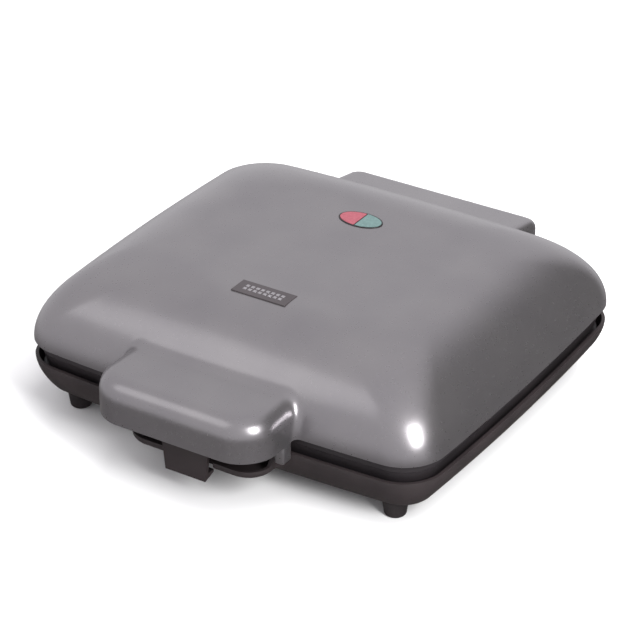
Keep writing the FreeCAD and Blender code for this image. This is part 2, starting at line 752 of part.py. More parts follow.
def bores(name, x, y, height, length):
    return four_corners(name, lambda each, u, v: cylinder(each, u, v, height, "screw_radius", length), x, y)


SEAT_LOW = f"({PLATE_BOTTOM} - ledge_thick)"
FLANGE_INSET = f"(rim_inset + base_wall + (rim_height - moat_floor + moat_thick) * {WALL_SLOPE} + 0.25)"
surround = outline_loft("surround_form", [
    ("moat_floor", "liner_foot_inset", "corner_radius - liner_foot_inset"),
    (LOWER_TOP, "liner_inset", "corner_radius - liner_inset"),
], ruled=True)
skirt = outline_slab("skirt_form", SEAT_LOW, f"moat_floor - {SEAT_LOW}", "liner_foot_inset")
moat = outline_slab("moat_form", "moat_floor - moat_thick", "moat_thick", FLANGE_INSET)
well = outline_slab("well_form", PLATE_BOTTOM, "plate_thick + past", "plate_inset - plate_gap")
mouth = outline_slab("mouth_form", f"{SEAT_LOW} - past", "plate_thick", LEDGE_INSET)
base_liner_ring = cut("base_liner_ring", joined("base_liner_mass", [surround, skirt, moat]), [well, mouth])
LUG_LOW = POST_TOP
base_liner = joined("base_liner_full", [base_liner_ring, lugs("base_lugs", LUG_LOW),
                                        plate_tabs("base_tabs", SEAT_LOW)])
node("base_liner", cut("base_liner_cut", base_liner, [
    bores("base_lug_bores", SCREW_X, SCREW_Y, f"{LUG_LOW} - past", "lug_thick + 2 * past"),
    bores("base_tab_bores", PLATE_SCREW_X, "plate_screw_y", f"{SEAT_LOW} - past",
          "ledge_thick + 2 * past")]))

UPPER_BACK = f"({UPPER_BOTTOM} + plate_thick)"
UPPER_SEAT = f"({UPPER_BACK} + ledge_thick)"
curtain = outline_slab("curtain_form", UPPER_BOTTOM, f"edge_height - {UPPER_BOTTOM}", "lid_liner_inset")
frame_ring = outline_slab("frame_form", "edge_height", f"{UPPER_SEAT} - edge_height",
                          f"lid_liner_inset + liner_rake * ({UPPER_SEAT} - edge_height)")
lid_well = outline_slab("lid_well_form", f"{UPPER_BOTTOM} - past", "plate_thick + past",
                        "plate_inset - plate_gap")
lid_mouth = outline_slab("lid_mouth_form", f"{UPPER_BACK} - past", "plate_thick", LEDGE_INSET)
vents = []
for side, x in (("left", f"-{HALF_X} - past"), ("right", f"{HALF_X} - lid_liner_inset - vent_depth")):
    for end, y in (("front", "-vent_start - vent_length"), ("rear", "vent_start")):
        vents.append(box(f"vent_{end}_{side}", x, y, f"{UPPER_BOTTOM} - past",
                         "vent_depth + lid_liner_inset + past", "vent_length",
                         f"edge_height - {UPPER_BOTTOM} + past"))
lid_liner_ring = cut("lid_liner_ring", joined("lid_liner_mass", [curtain, frame_ring]),
                     [lid_well, lid_mouth] + vents)
UPPER_LUG = f"({UPPER_BACK} + plate_gap / 2)"
lid_liner = joined("lid_liner_full", [lid_liner_ring, lugs("lid_lugs", UPPER_LUG),
                                      plate_tabs("lid_tabs", UPPER_BACK)])
node("lid_liner", cut("lid_liner_cut", lid_liner, [
    bores("lid_lug_bores", SCREW_X, SCREW_Y, f"{UPPER_LUG} - past", "lug_thick + 2 * past"),
    four_corners("lid_head_wells", lambda name, x, y: cylinder(
        name, x, y, f"{UPPER_LUG} - past", "head_radius + 0.3", "head_thick + 1.1"), SCREW_X, SCREW_Y),
    bores("lid_tab_bores", PLATE_SCREW_X, "plate_screw_y", f"{UPPER_BACK} - past",
          "ledge_thick + 2 * past")]))


# ---------------------------------------------------------------- cooking plates and heating
def up_there(label, source):
    """The lid's copy of a base piece, mirrored in the parting plane."""
    made = doc.addObject("Part::Mirroring", label)
    made.Source = source
    made.Normal = Vector(0, 0, 1)
    bind(made, ".Base.z", "parting")
    made.Label = label
    NODES.append(made)
    return made


POCKET_X = f"({HALF_X} - plate_inset - plate_border - plate_web / 2)"
POCKET_Y = f"({HALF_Y} - plate_inset - plate_border - plate_web / 2)"
PITCH_X, PITCH_Y = f"({POCKET_X} / stud_columns)", f"({POCKET_Y} / stud_rows)"

plate_blank = outline_slab("plate_blank", PLATE_BOTTOM, "plate_thick", "plate_inset")
pockets = four_corners("pockets", lambda name, x, y: centred_box(
    name, x, y, PLATE_POCKET, POCKET_X, POCKET_Y, "plate_thick"),
    f"(plate_web + {POCKET_X}) / 2", f"(plate_web + {POCKET_Y}) / 2")
studs = new_body("studs")
squares = []
for level, (height, width) in enumerate(((f"{PLATE_POCKET} - plate_floor / 2", "stud_base"),
                                         (f"{PLATE_POCKET} + stud_height", "stud_crown"))):
    square = new_sketch(studs, f"stud_square_{level}", "XY_Plane", height)
    near_x, far_x = (f"plate_web / 2 + ({PITCH_X} {sign} {width}) / 2" for sign in "-+")
    near_y, far_y = (f"plate_web / 2 + ({PITCH_Y} {sign} {width}) / 2" for sign in "-+")
    polygon(square, [(near_x, near_y), (far_x, near_y), (far_x, far_y), (near_x, far_y)])
    squares.append(square)
stud = loft(studs, "stud_loft", squares, ruled=True)
doc.recompute()
axes = {feature.Role: feature for feature in studs.Origin.OriginFeatures}
spread = studs.newObject("PartDesign::MultiTransform", "stud_grid")
steps = []
for axis, count, pitch in (("X_Axis", "stud_columns", PITCH_X), ("Y_Axis", "stud_rows", PITCH_Y)):
    step = studs.newObject("PartDesign::LinearPattern", f"stud_{axis}")
    step.Direction = (axes[axis], [""])
    bind(step, "Length", f"{pitch} * ({count} - 1)")
    bind(step, "Occurrences", count)
    steps.append(step)
for plane in ("YZ_Plane", "XZ_Plane"):
    flip = studs.newObject("PartDesign::Mirrored", f"stud_{plane}")
    flip.MirrorPlane = (axes[plane], [""])
    steps.append(flip)
spread.Originals = [stud]
spread.Transformations = steps
studs.AllowCompound = True
studs.Tip = spread
plate_body = joined("plate_body", [cut("plate_cut", plate_blank, [pockets]), studs])
plate_bores = bores("plate_bores", PLATE_SCREW_X, "plate_screw_y", f"{PLATE_BOTTOM} - past", "8.2")
lower_plate = node("lower_plate", cut("lower_plate_cut", plate_body, [plate_bores]))
lower_screws = node("lower_plate_screws", four_corners("lower_plate_screw_set", lambda name, x, y: screw(
    name, x, y, SEAT_LOW, "ledge_thick + 7"), PLATE_SCREW_X, "plate_screw_y"))


def element_path(sketch):
    """The loop's centre line: a cold end, round the plate, and back to the other cold end."""
    x, y, start, end = (value(f) for f in (ELEMENT_X, ELEMENT_Y, "cold_end_x", COLD_END_Y))
    bend = value("element_bend")
    corners = [(-start, end), (-start, y), (-x, y), (-x, -y), (x, -y), (x, y), (start, y), (start, end)]
    formulas = ["-cold_end_x", ELEMENT_Y, f"-{ELEMENT_X}", f"-{ELEMENT_Y}", ELEMENT_X, ELEMENT_Y,
                "cold_end_x"]
    spots = [Vector(*corner, 0) for corner in corners]
    count = len(spots) - 1
    directions = [(spots[i + 1] - spots[i]).normalize() for i in range(count)]
    for i in range(count):
        first = spots[i] + directions[i] * (bend if i else 0)
        last = spots[i + 1] - directions[i] * (bend if i < count - 1 else 0)
        sketch.addGeometry(Part.LineSegment(first, last))
    for i in range(count - 1):
        corner = spots[i + 1]
        first, last = corner - directions[i] * bend, corner + directions[i + 1] * bend
        centre = first + directions[i + 1] * bend
        crest = centre + (corner - centre).normalize() * bend
        sketch.addGeometry(Part.Arc(first, crest, last))
    for i in range(count - 1):
        arc = count + i
        turns_left = directions[i].cross(directions[i + 1]).z > 0
        entry, leave = (1, 2) if turns_left else (2, 1)
        sketch.addConstraint(Sketcher.Constraint("Tangent", i, 2, arc, entry))
        sketch.addConstraint(Sketcher.Constraint("Tangent", arc, leave, i + 1, 1))
        if i:
            sketch.addConstraint(Sketcher.Constraint("Equal", count, arc))
    for i in range(count):
        upright = abs(directions[i].x) < 0.5
        sketch.addConstraint(Sketcher.Constraint("Vertical" if upright else "Horizontal", i))
        dimension(sketch, "DistanceX" if upright else "DistanceY", -1, 1, i, 1, formulas[i])
    dimension(sketch, "Radius", count, "element_bend")
    dimension(sketch, "DistanceY", -1, 1, 0, 1, COLD_END_Y)
    dimension(sketch, "DistanceY", -1, 1, count - 1, 2, COLD_END_Y)


element = new_body("element")
element_route = new_sketch(element, "element_route", "XY_Plane", ELEMENT_HEIGHT)
element_path(element_route)
element_section = new_sketch(element, "element_section", "XZ_Plane", f"-{COLD_END_Y}")
element_section.addGeometry(Part.Circle(Vector(-value("cold_end_x"), value(ELEMENT_HEIGHT), 0),
                                        Vector(0, 0, 1), value("element_radius")))
pin_down(element_section, 0, 3, "X", "-cold_end_x")
pin_down(element_section, 0, 3, "Y", ELEMENT_HEIGHT)
dimension(element_section, "Radius", 0, "element_radius")
element_pipe = element.newObject("PartDesign::AdditivePipe", "element_pipe")
element_pipe.Profile = element_section
element_pipe.Spine = element_route
lower_element = node("lower_heating_element", element)

CLIP_LOW = f"({ELEMENT_HEIGHT} - element_radius - clip_sheet)"
CLIP_SPAN = "(2 * element_radius + 2 * clip_sheet + 0.2)"
SLOT_SPAN = "(2 * element_radius + 0.2)"


def clip(name, x, y, across_x):
    """A steel stirrup that holds the tube against the plate."""
    outer = (CLIP_SPAN, "clip_width") if across_x else ("clip_width", CLIP_SPAN)
    inner = (SLOT_SPAN, "clip_width + 2 * past") if across_x else ("clip_width + 2 * past", SLOT_SPAN)
    strap = centred_box(name + "_strap", x, y, CLIP_LOW, *outer, f"{PLATE_BOTTOM} - {CLIP_LOW}")
    slot = centred_box(name + "_slot", x, y, f"{CLIP_LOW} + clip_sheet", *inner, "3 * element_radius")
    return cut(name, strap, [slot])


lower_clips = node("lower_element_clips", joined("lower_clip_set", [
    clip("clip_left", f"-{ELEMENT_X}", "0", True), clip("clip_right", ELEMENT_X, "0", True),
    clip("clip_front", "0", f"-{ELEMENT_Y}", False),
    clip("clip_rear_left", f"-{ELEMENT_X} * 0.6", ELEMENT_Y, False),
    clip("clip_rear_right", f"{ELEMENT_X} * 0.6", ELEMENT_Y, False)]))

TRAY_X, TRAY_Y = f"2 * ({ELEMENT_X} + tray_margin)", f"2 * ({ELEMENT_Y} + tray_margin)"
TRAY_LOW = f"({CLIP_LOW} - tray_gap - tray_sheet)"
tray = centred_box("tray_block", "0", "0", TRAY_LOW, TRAY_X, TRAY_Y, "tray_depth - 2.2")
tray_room = centred_box("tray_room", "0", "0", f"{TRAY_LOW} + tray_sheet", f"{TRAY_X} - 2 * tray_sheet",
                        f"{TRAY_Y} - 2 * tray_sheet", "tray_depth")
cold_slots = mirrored_x("cold_slots", centred_box(
    "cold_slot", "cold_end_x + element_bend / 6", f"({TRAY_Y}) / 2",
    f"{ELEMENT_HEIGHT} - element_radius - tray_gap",
    "2 * element_radius + 1 + element_bend / 2", "4", "3 * element_radius"))
lower_tray = node("lower_heat_reflector", cut("lower_tray_cut", tray, [tray_room, cold_slots]))

thermostat = cylinder("thermostat_can", "0", "0", f"{PLATE_BOTTOM} - thermostat_height",
                      "thermostat_radius", "thermostat_height")
node("thermostat", thermostat)
BRACKET_LOW = f"({PLATE_BOTTOM} - thermostat_height - strap_sheet)"
bracket = centred_box("bracket_block", "0", "0", BRACKET_LOW, "2 * thermostat_radius + 2 * strap_wing",
                      "strap_width", "thermostat_height + strap_sheet")
bracket_room = centred_box("bracket_room", "0", "0", f"{BRACKET_LOW} + strap_sheet",
                           "2 * (thermostat_radius + strap_wing - strap_sheet)", "strap_width + 2 * past",
                           "thermostat_height + past")
node("thermostat_bracket", cut("thermostat_bracket_cut", bracket, [bracket_room]))
node("thermal_fuse", cylinder("fuse_can", "fuse_x", "fuse_y", f"{PLATE_BOTTOM} - fuse_radius", "fuse_radius",
                              "fuse_length", ALONG_X))
TERMINAL_Y = f"({COLD_END_Y} + terminal_gap)"
node("terminal_block", centred_box("terminal_body", "0", TERMINAL_Y, "base_bottom + base_wall",
                                   "terminal_length", "terminal_width", "terminal_height"))
# The wires leave the block's end, run to the window in the rear wall and climb beside the hinge.
node("loom_lower", tube("loom_lower_tube", "loom_radius", "5", [
    ("terminal_length / 2", TERMINAL_Y, "base_bottom + base_wall + loom_lift"),
    ("loom_x", TERMINAL_Y, "base_bottom + base_wall + loom_lift"),
    ("loom_x", LOOM_RISE_Y, "base_bottom + base_wall + 2 * loom_lift"),
    ("loom_x", LOOM_RISE_Y, "axis_height - 9"),
    ("loom_x", f"{AXIS_REACH} - 4.4", "axis_height - 2.4")]))

up_there("upper_plate", lower_plate)
up_there("upper_heating_element", lower_element)
up_there("upper_element_clips", lower_clips)
up_there("upper_heat_reflector", lower_tray)
up_there("upper_plate_screws", lower_screws)


# ---------------------------------------------------------------- lid shell
# One moulding: the dome, the handle with its two corner tabs, and the cover over the hinge.
def dome(name, wall):
    """The dome's outer form, or its room where a wall is given."""
    stations = []
    for step in range(7):
        angle = f"{15 * step} deg"
        growth = f"dome_inset * (1 - cos({angle}))"
        stations.append((f"edge_height + (dome_rise - {wall}) * sin({angle})", f"{wall} + {growth}",
                         f"corner_radius - {wall} + corner_growth * {growth}"))
    return outline_loft(name, stations)


dome_form = dome("dome_form", "0")
dome_room = dome("dome_room", "dome_wall")
edge_room = outline_slab("edge_room", "lip_top", "edge_height - lip_top", "dome_wall")

HANDLE_ROOT = f"({HALF_Y} - handle_root)"
handle_form = tongue("handle_form", "handle_bottom", "handle_top - handle_bottom", "handle_width / 2",
                     HANDLE_ROOT, HANDLE_REACH, "handle_corner")
fillet(handle_form, handle_form.Tip, "handle_round", "handle_fillet",
       level_edges("handle_top", f"-{HANDLE_ROOT}"))
handle_room = tongue("handle_room", "handle_bottom - past", "handle_top - handle_bottom + 1 - handle_wall",
                     "handle_width / 2 - handle_wall", f"{HALF_Y} + 1.2", f"{HANDLE_REACH} - handle_wall",
                     "handle_corner - handle_wall")
fillet(handle_room, handle_room.Tip, "handle_room_round", "handle_fillet - handle_wall",
       level_edges("handle_top - handle_wall", f"-{HALF_Y} - 1.2"))
TAB_NEAR = f"({HALF_Y} + tab_gap)"
tabs = mirrored_x("tabs", box("tab", "handle_width / 2 - handle_wall - 3 * past",
                              f"-{TAB_NEAR} - tab_depth", "handle_bottom - tab_drop",
                              "handle_wall + 3 * past", "tab_depth", "tab_drop + 3 * past"))

HINGE_ROOT = f"({HALF_Y} - hinge_root)"


def hinge_cover(name, wall, bottom, root):
    return side_profile(name, f"-hinge_width / 2 + {wall}", f"hinge_width - 2 * {wall}", [
        (root, bottom), (f"{HINGE_REACH} - {wall}", bottom),
        (f"{HINGE_REACH} - {wall}", f"hinge_cover_back - {wall}"), (root, f"hinge_cover_front - {wall}")])


hinge_form = hinge_cover("hinge_form", "0", "parting", HINGE_ROOT)
fillet(hinge_form, hinge_form.Tip, "hinge_corner_round", "hinge_corner", upright_edges(HINGE_REACH))


def roof_edges(edge):
    """Edges of the hinge cover's sloping roof, except the one buried in the dome."""
    spots = [vertex.Point for vertex in edge.Vertexes]
    high = all(p.z > value("hinge_cover_back") - 1e-4 for p in spots)
    return high and not all(abs(p.y - value(HINGE_ROOT)) < 1e-4 for p in spots)


fillet(hinge_form, hinge_form.Tip, "hinge_edge_round", "hinge_edge", roof_edges)
hinge_room = hinge_cover("hinge_room", "hinge_wall", "lip_top", f"{HINGE_ROOT} - past")
fillet(hinge_room, hinge_room.Tip, "hinge_room_round", "hinge_corner - hinge_wall",
       upright_edges(f"{HINGE_REACH} - hinge_wall"))

lens_cut = doc.addObject("Part::Ellipse", "lens_cut")
bind(lens_cut, "MajorRadius", "lens_x_radius")
bind(lens_cut, "MinorRadius", "lens_y_radius")
place(lens_cut, "0", LENS_Y, f"{LID_TOP} - 2 * dome_wall")


def upright_prism(name, outline, height):
    made = doc.addObject("Part::Extrusion", name)
    made.Base = outline
    made.DirMode = "Custom"
    made.Dir = Vector(0, 0, 1)
    made.Solid = True
    bind(made, "LengthFwd", height)
    return made


lens_opening = upright_prism("lens_opening", lens_cut, "3 * dome_wall")
BADGE_LOW = f"({LID_TOP} + badge_proud - badge_thick)"
badge_seat = centred_box("badge_seat", "0", BADGE_Y, BADGE_LOW, "badge_length", "badge_width",
                         "badge_thick + past")
lid_hollow = joined("lid_hollow", [dome_room, edge_room, handle_room, hinge_room])
lid_skin = cut("lid_skin", joined("lid_mass", [dome_form, handle_form, tabs, hinge_form]), [lid_hollow])

# Ribs inside: the hinge lugs, the four screw bosses and the two lamp-board bosses.
LUG_START = "(ear_inner + ear_width + lug_gap)"
LUG_SPAN = f"(hinge_width / 2 - hinge_wall + 0.2 - {LUG_START})"
lug_arm = side_profile("lug_arm", LUG_START, LUG_SPAN, [
    (f"{AXIS_REACH} - 4.5", "axis_height"), (f"{AXIS_REACH} + 4.5", "axis_height"),
    (f"{AXIS_REACH} + 4.5", "hinge_cover_back - 1.5"), (f"{AXIS_REACH} - 4.5", "hinge_cover_back - 1.5")])
lug_knuckle = cylinder("lug_knuckle", LUG_START, AXIS_REACH, "axis_height", "knuckle_radius", LUG_SPAN,
                       ALONG_X)
hinge_lugs = mirrored_x("hinge_lugs", joined("hinge_lug", [lug_arm, lug_knuckle]))
UPPER_LUG_TOP = f"({UPPER_LUG} + lug_thick)"
lid_posts = four_corners("lid_posts", lambda name, x, y: cylinder(
    name, x, y, UPPER_LUG_TOP, "post_radius", f"{LID_TOP} - {UPPER_LUG_TOP}"), SCREW_X, SCREW_Y)
board_posts = mirrored_x("board_posts", cylinder(
    "board_post", BOARD_SCREW_X, LENS_Y, f"{BOARD_HEIGHT} + board_thick", "2.6",
    f"{LID_TOP} - {BOARD_HEIGHT} - board_thick - dome_wall / 2"))
inner_posts = common("inner_posts", joined("post_forms", [lid_posts, board_posts]), dome_form)
LUG_BORE_START = f"({LUG_START} - 1)"
lug_bore = mirrored_x("lug_bore", cylinder(
    "lug_bore_side", LUG_BORE_START, AXIS_REACH, "axis_height", "pin_radius + pin_play",
    f"ear_inner + pin_length + 0.3 - {LUG_BORE_START}", ALONG_X))
BOARD_BORE = "0.9"
board_bores = mirrored_x("board_bores", cylinder(
    "board_bore", BOARD_SCREW_X, LENS_Y, BOARD_HEIGHT, BOARD_BORE, "8"))
node("lid_shell", cut("lid_shell_cut", joined("lid_full", [lid_skin, hinge_lugs, inner_posts]), [
    lens_opening, badge_seat, lug_bore, board_bores,
    bores("lid_post_bores", SCREW_X, SCREW_Y, UPPER_LUG_TOP, "8")]))
node("lid_screws", four_corners("lid_screw_set", lambda name, x, y: screw(
    name, x, y, f"{UPPER_LUG} + head_thick + 0.1", "lug_thick - head_thick + 7.5"), SCREW_X, SCREW_Y))
for side, start in (("left", "-ear_inner - pin_length"), ("right", "ear_inner")):
    node(f"hinge_pin_{side}", cylinder(f"hinge_pin_rod_{side}", start, AXIS_REACH, "axis_height",
                                       "pin_radius", "pin_length", ALONG_X))
node("loom_upper", tube("loom_upper_tube", "loom_radius", "6", [
    ("loom_x", f"{AXIS_REACH} + 0.8", "axis_height + 2.4"),
    ("loom_x", f"{AXIS_REACH} - past", "axis_height + 15"),
    ("loom_x", f"{HALF_Y} - 8", "axis_height + 20"),
    ("board_length / 2 - 10", f"{LENS_Y} + board_width / 2 + 22", f"{BOARD_HEIGHT} + 0.5"),
    ("board_length / 2 - 10", f"{LENS_Y} + board_width / 2", f"{BOARD_HEIGHT} + 0.8")]))

# ---------------------------------------------------------------- indicator, lamps, name plate
LENS_LOW = f"({LID_TOP} + lens_proud - lens_thick)"


def ellipse_prism(name, shrink, low, height):
    outline = doc.addObject("Part::Ellipse", name + "_outline")
    bind(outline, "MajorRadius", f"lens_x_radius - {shrink}")
    bind(outline, "MinorRadius", f"lens_y_radius - {shrink}")
    place(outline, "0", LENS_Y, low)
    return upright_prism(name, outline, height)


bezel_blank = ellipse_prism("bezel_blank", "0", LENS_LOW, "lens_thick - 0.1")
bezel_hole = ellipse_prism("bezel_hole", "bezel_width", f"{LENS_LOW} - past", "lens_thick + 2 * past")
divider = common("divider", ellipse_prism("divider_blank", "bezel_width / 2", LENS_LOW, "lens_thick - 0.1"),
                 centred_box("divider_bar", "0", LENS_Y, LENS_LOW, "bezel_width", "3 * lens_y_radius",
                             "lens_thick"))
node("indicator_bezel", joined("indicator_bezel_full",
                               [cut("bezel_ring", bezel_blank, [bezel_hole]), divider]))
for colour, side in (("red", -1), ("green", 1)):
    glass = ellipse_prism(f"glass_{colour}", "bezel_width", LENS_LOW, "lens_thick")
    half = centred_box(f"half_{colour}", f"{side} * (lens_x_radius + bezel_width / 2)", LENS_Y, LENS_LOW,
                       "2 * lens_x_radius", "3 * lens_y_radius", "lens_thick + past")
    node(f"indicator_lens_{colour}", common(f"lens_{colour}", glass, half))
board = centred_box("board_sheet", "0", LENS_Y, BOARD_HEIGHT, "board_length", "board_width", "board_thick")
node("lamp_board", cut("lamp_board_cut", board, [mirrored_x("board_holes", cylinder(
    "board_hole", BOARD_SCREW_X, LENS_Y, f"{BOARD_HEIGHT} - past", BOARD_BORE, "board_thick + 2 * past"))]))
for use, x in (("power", "-lens_x_radius / 2"), ("ready", "lens_x_radius / 2")):
    bulb = doc.addObject("Part::Sphere", f"{use}_bulb")
    bind(bulb, "Radius", "lamp_radius")
    place(bulb, x, LENS_Y, f"{BOARD_HEIGHT} + board_thick + lamp_height")
    stem = cylinder(f"{use}_stem", x, LENS_Y, f"{BOARD_HEIGHT} + board_thick", "lamp_radius", "lamp_height")
    node(f"{use}_lamp", joined(f"{use}_lamp_full", [stem, bulb]))
board_heads = cylinder("board_head", BOARD_SCREW_X, LENS_Y, f"{BOARD_HEIGHT} - 1.4", "1.9", "1.4")
board_shanks = cylinder("board_shank", BOARD_SCREW_X, LENS_Y, BOARD_HEIGHT, BOARD_BORE, "7")
node("lamp_board_screws", mirrored_x("board_screw_pair", joined("board_screw", [board_heads, board_shanks])))
node("name_plate", centred_box("name_plate_sheet", "0", BADGE_Y, BADGE_LOW, "badge_length", "badge_width",
                               "badge_thick"))

# ---------------------------------------------------------------- handle cover and latch
COVER_LOW = "(handle_bottom + cover_recess)"
cover = tongue("cover_form", COVER_LOW, "cover_thick", "handle_width / 2 - handle_wall", f"{HALF_Y} + 1.2",
               f"{HANDLE_REACH} - handle_wall", "handle_corner - handle_wall")
SLOT_HALF = "(latch_width / 2 + slot_gap)"
cover_slot = box("cover_slot", f"-{SLOT_HALF}", f"-{LATCH_REACH} - slot_ahead", f"{COVER_LOW} - past",
                 f"2 * {SLOT_HALF}", "slot_ahead + latch_thick + slot_behind", "cover_thick + 2 * past")
cover_lugs = mirrored_x("cover_lugs", centred_box(
    "cover_lug", f"{SLOT_HALF} + lug_setback + latch_lug / 2", f"-{LATCH_AXIS_REACH}", COVER_LOW, "latch_lug",
    "3 * latch_knuckle", "latch_axis_height + latch_knuckle - handle_bottom"))
cover_bore = cylinder("cover_bore", "-handle_width / 2", f"-{LATCH_AXIS_REACH}", "latch_axis_height",
                      "latch_pin_radius", "handle_width", ALONG_X)
cover_mass = joined("cover_mass", [cover, cover_lugs])
node("handle_cover", cut("handle_cover_cut", cover_mass, [cover_slot, cover_bore]))
PIN_HALF = f"({SLOT_HALF} + lug_setback + latch_lug)"
node("latch_pin", cylinder("latch_pin_rod", f"-{PIN_HALF}", f"-{LATCH_AXIS_REACH}", "latch_axis_height",
                           "latch_pin_radius", f"2 * {PIN_HALF}", ALONG_X))

SHANK_BACK = f"-{LATCH_REACH} + latch_thick"
HOOK_BACK = f"-{LATCH_REACH} + hook_reach"
latch_side = side_profile("latch_side", "-latch_width / 2", "latch_width", [
    (f"-{LATCH_REACH}", LATCH_BOTTOM), (HOOK_BACK, f"{LATCH_BOTTOM} + hook_rise"), (HOOK_BACK, HOOK_TOP),
    (SHANK_BACK, HOOK_TOP), (SHANK_BACK, "latch_axis_height"), (f"-{LATCH_REACH}", "latch_axis_height")])
latch_front = new_body("latch_front")
latch_face = new_sketch(latch_front, "latch_face", "XZ_Plane", f"{LATCH_REACH} - 2 * hook_reach")
polygon(latch_face, [("-latch_end_width / 2", LATCH_BOTTOM), ("latch_end_width / 2", LATCH_BOTTOM),
                     ("latch_width / 2", "latch_shoulder"), ("latch_width / 2", "latch_axis_height"),
                     ("-latch_width / 2", "latch_axis_height"), ("-latch_width / 2", "latch_shoulder")])
pad(latch_front, latch_face, "3 * hook_reach")
latch_blade = common("latch_blade", latch_side, latch_front)
latch_barrel = cylinder("latch_barrel", "-latch_width / 2", f"-{LATCH_AXIS_REACH}", "latch_axis_height",
                        "latch_knuckle", "latch_width", ALONG_X)
latch_bore = cylinder("latch_bore", "-latch_width / 2 - past", f"-{LATCH_AXIS_REACH}", "latch_axis_height",
                      "latch_pin_radius + pin_play", "latch_width + 2 * past", ALONG_X)
node("latch", cut("latch_cut", joined("latch_mass", [latch_blade, latch_barrel]), [latch_bore]))

# ---------------------------------------------------------------- checks and files
doc.recompute()
for thing in doc.Objects:
    if "Invalid" in thing.State or "Error" in thing.State:
        raise RuntimeError(f"{thing.Label} did not build: {thing.State}")
for piece in NODES:
    if piece.Shape.isNull() or not piece.Shape.isValid() or not piece.Shape.Solids:
        raise RuntimeError(f"{piece.Label} has no sound solid")
os.makedirs("parts", exist_ok=True)
for piece in NODES:
    piece.Shape.exportStep(f"parts/{piece.Label}.step")
    box_now = piece.Shape.BoundBox
    print(f"{piece.Label}: {len(piece.Shape.Solids)} solid, {piece.Shape.Volume / 1000:.1f} cm3, "
          f"z {box_now.ZMin:.1f} to {box_now.ZMax:.1f}")
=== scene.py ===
import math

import bmesh
import bpy
import numpy as np
from mathutils import Matrix, Vector


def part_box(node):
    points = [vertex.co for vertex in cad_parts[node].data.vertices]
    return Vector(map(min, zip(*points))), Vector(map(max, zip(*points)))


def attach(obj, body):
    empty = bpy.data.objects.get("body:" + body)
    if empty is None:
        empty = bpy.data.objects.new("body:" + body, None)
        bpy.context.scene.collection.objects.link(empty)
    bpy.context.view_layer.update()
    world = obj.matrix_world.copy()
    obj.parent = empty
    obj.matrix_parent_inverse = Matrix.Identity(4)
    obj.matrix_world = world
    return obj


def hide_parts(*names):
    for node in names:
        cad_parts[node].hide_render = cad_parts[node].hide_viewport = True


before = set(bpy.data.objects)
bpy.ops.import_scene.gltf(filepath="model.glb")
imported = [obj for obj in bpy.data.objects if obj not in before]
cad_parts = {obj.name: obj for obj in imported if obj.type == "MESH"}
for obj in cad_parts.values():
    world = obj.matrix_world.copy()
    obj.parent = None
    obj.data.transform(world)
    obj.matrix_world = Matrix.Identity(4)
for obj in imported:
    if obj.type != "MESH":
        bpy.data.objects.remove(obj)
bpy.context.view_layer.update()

# ---------------------------------------------------------------- camera
# A 150 mm lens a metre and a half away, looking down on the front right corner.
plate_low, plate_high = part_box("lower_plate")
middle = Vector((0, (plate_low.y + plate_high.y) / 2, 0))
lens = bpy.data.cameras.new("camera")
lens.lens = 150
lens.sensor_width = 36
camera = bpy.data.objects.new("camera", lens)
bpy.context.scene.collection.objects.link(camera)
bpy.context.scene.camera = camera
azimuth, elevation, distance = math.radians(32.2), math.radians(29.8), 1.5988
target = middle + Vector((-0.0049, 0.0039, 0.040))
back = Vector((math.sin(azimuth) * math.cos(elevation), -math.cos(azimuth) * math.cos(elevation),
               math.sin(elevation)))
camera.location = target + back * distance
camera.rotation_euler = back.to_track_quat("Z", "Y").to_euler()

# ---------------------------------------------------------------- floor and light
# A white paper sweep under soft boxes: a large one overhead on the right, a tall one to the front right
# for the upright highlights, a broad dim one to the front left, and a pale room all round that is
# darker behind on the right and below.


def linear(code):
    """An sRGB hex colour as linear red, green, blue and full alpha."""
    parts = [int(code[i:i + 2], 16) / 255 for i in (1, 3, 5)]
    return [p / 12.92 if p <= 0.04045 else ((p + 0.055) / 1.055) ** 2.4 for p in parts] + [1]


def add_node(tree, kind, settings=None, links=None):
    """One node, with its settings (attributes or input values) and its inputs' sources."""
    made = tree.nodes.new(kind)
    for name, setting in (settings or {}).items():
        if isinstance(name, str) and hasattr(made, name):
            setattr(made, name, setting)
        else:
            made.inputs[name].default_value = setting
    for name, source in (links or {}).items():
        tree.links.new(source, made.inputs[name])
    return made


def mesh_piece(name, shape, material, body=None, smooth_angle=40):
    """A finished bmesh as an object that rides on a body."""
    mesh = bpy.data.meshes.new(name)
    shape.to_mesh(mesh)
    shape.free()
    piece = bpy.data.objects.new(name, mesh)
    bpy.context.scene.collection.objects.link(piece)
    mesh.materials.append(material)
    mesh.shade_smooth()
    mesh.set_sharp_from_angle(angle=math.radians(smooth_angle))
    if body:
        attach(piece, body)
    return piece


def new_finish(name, settings):
    """A material with one Principled shader; its even values sit on the shader's own sockets."""
    material = bpy.data.materials.new(name)
    material.use_nodes = True
    tree = material.node_tree
    tree.nodes.clear()
    shader = add_node(tree, "ShaderNodeBsdfPrincipled", settings)
    add_node(tree, "ShaderNodeOutputMaterial", links={"Surface": shader.outputs["BSDF"]})
    return material, tree, shader


paper, paper_tree, paper_shader = new_finish("paper_sweep", {"Roughness": 0.9, "Specular IOR Level": 0.1})
paper_shader.inputs["Base Color"].default_value = linear("#F6F6F6")
sweep = bmesh.new()
bmesh.ops.create_grid(sweep, x_segments=1, y_segments=1, size=6)
floor = mesh_piece("paper_sweep", sweep, paper)
# The paint mirrors the room's dim lower half and not the bright sweep.
floor.visible_glossy = False

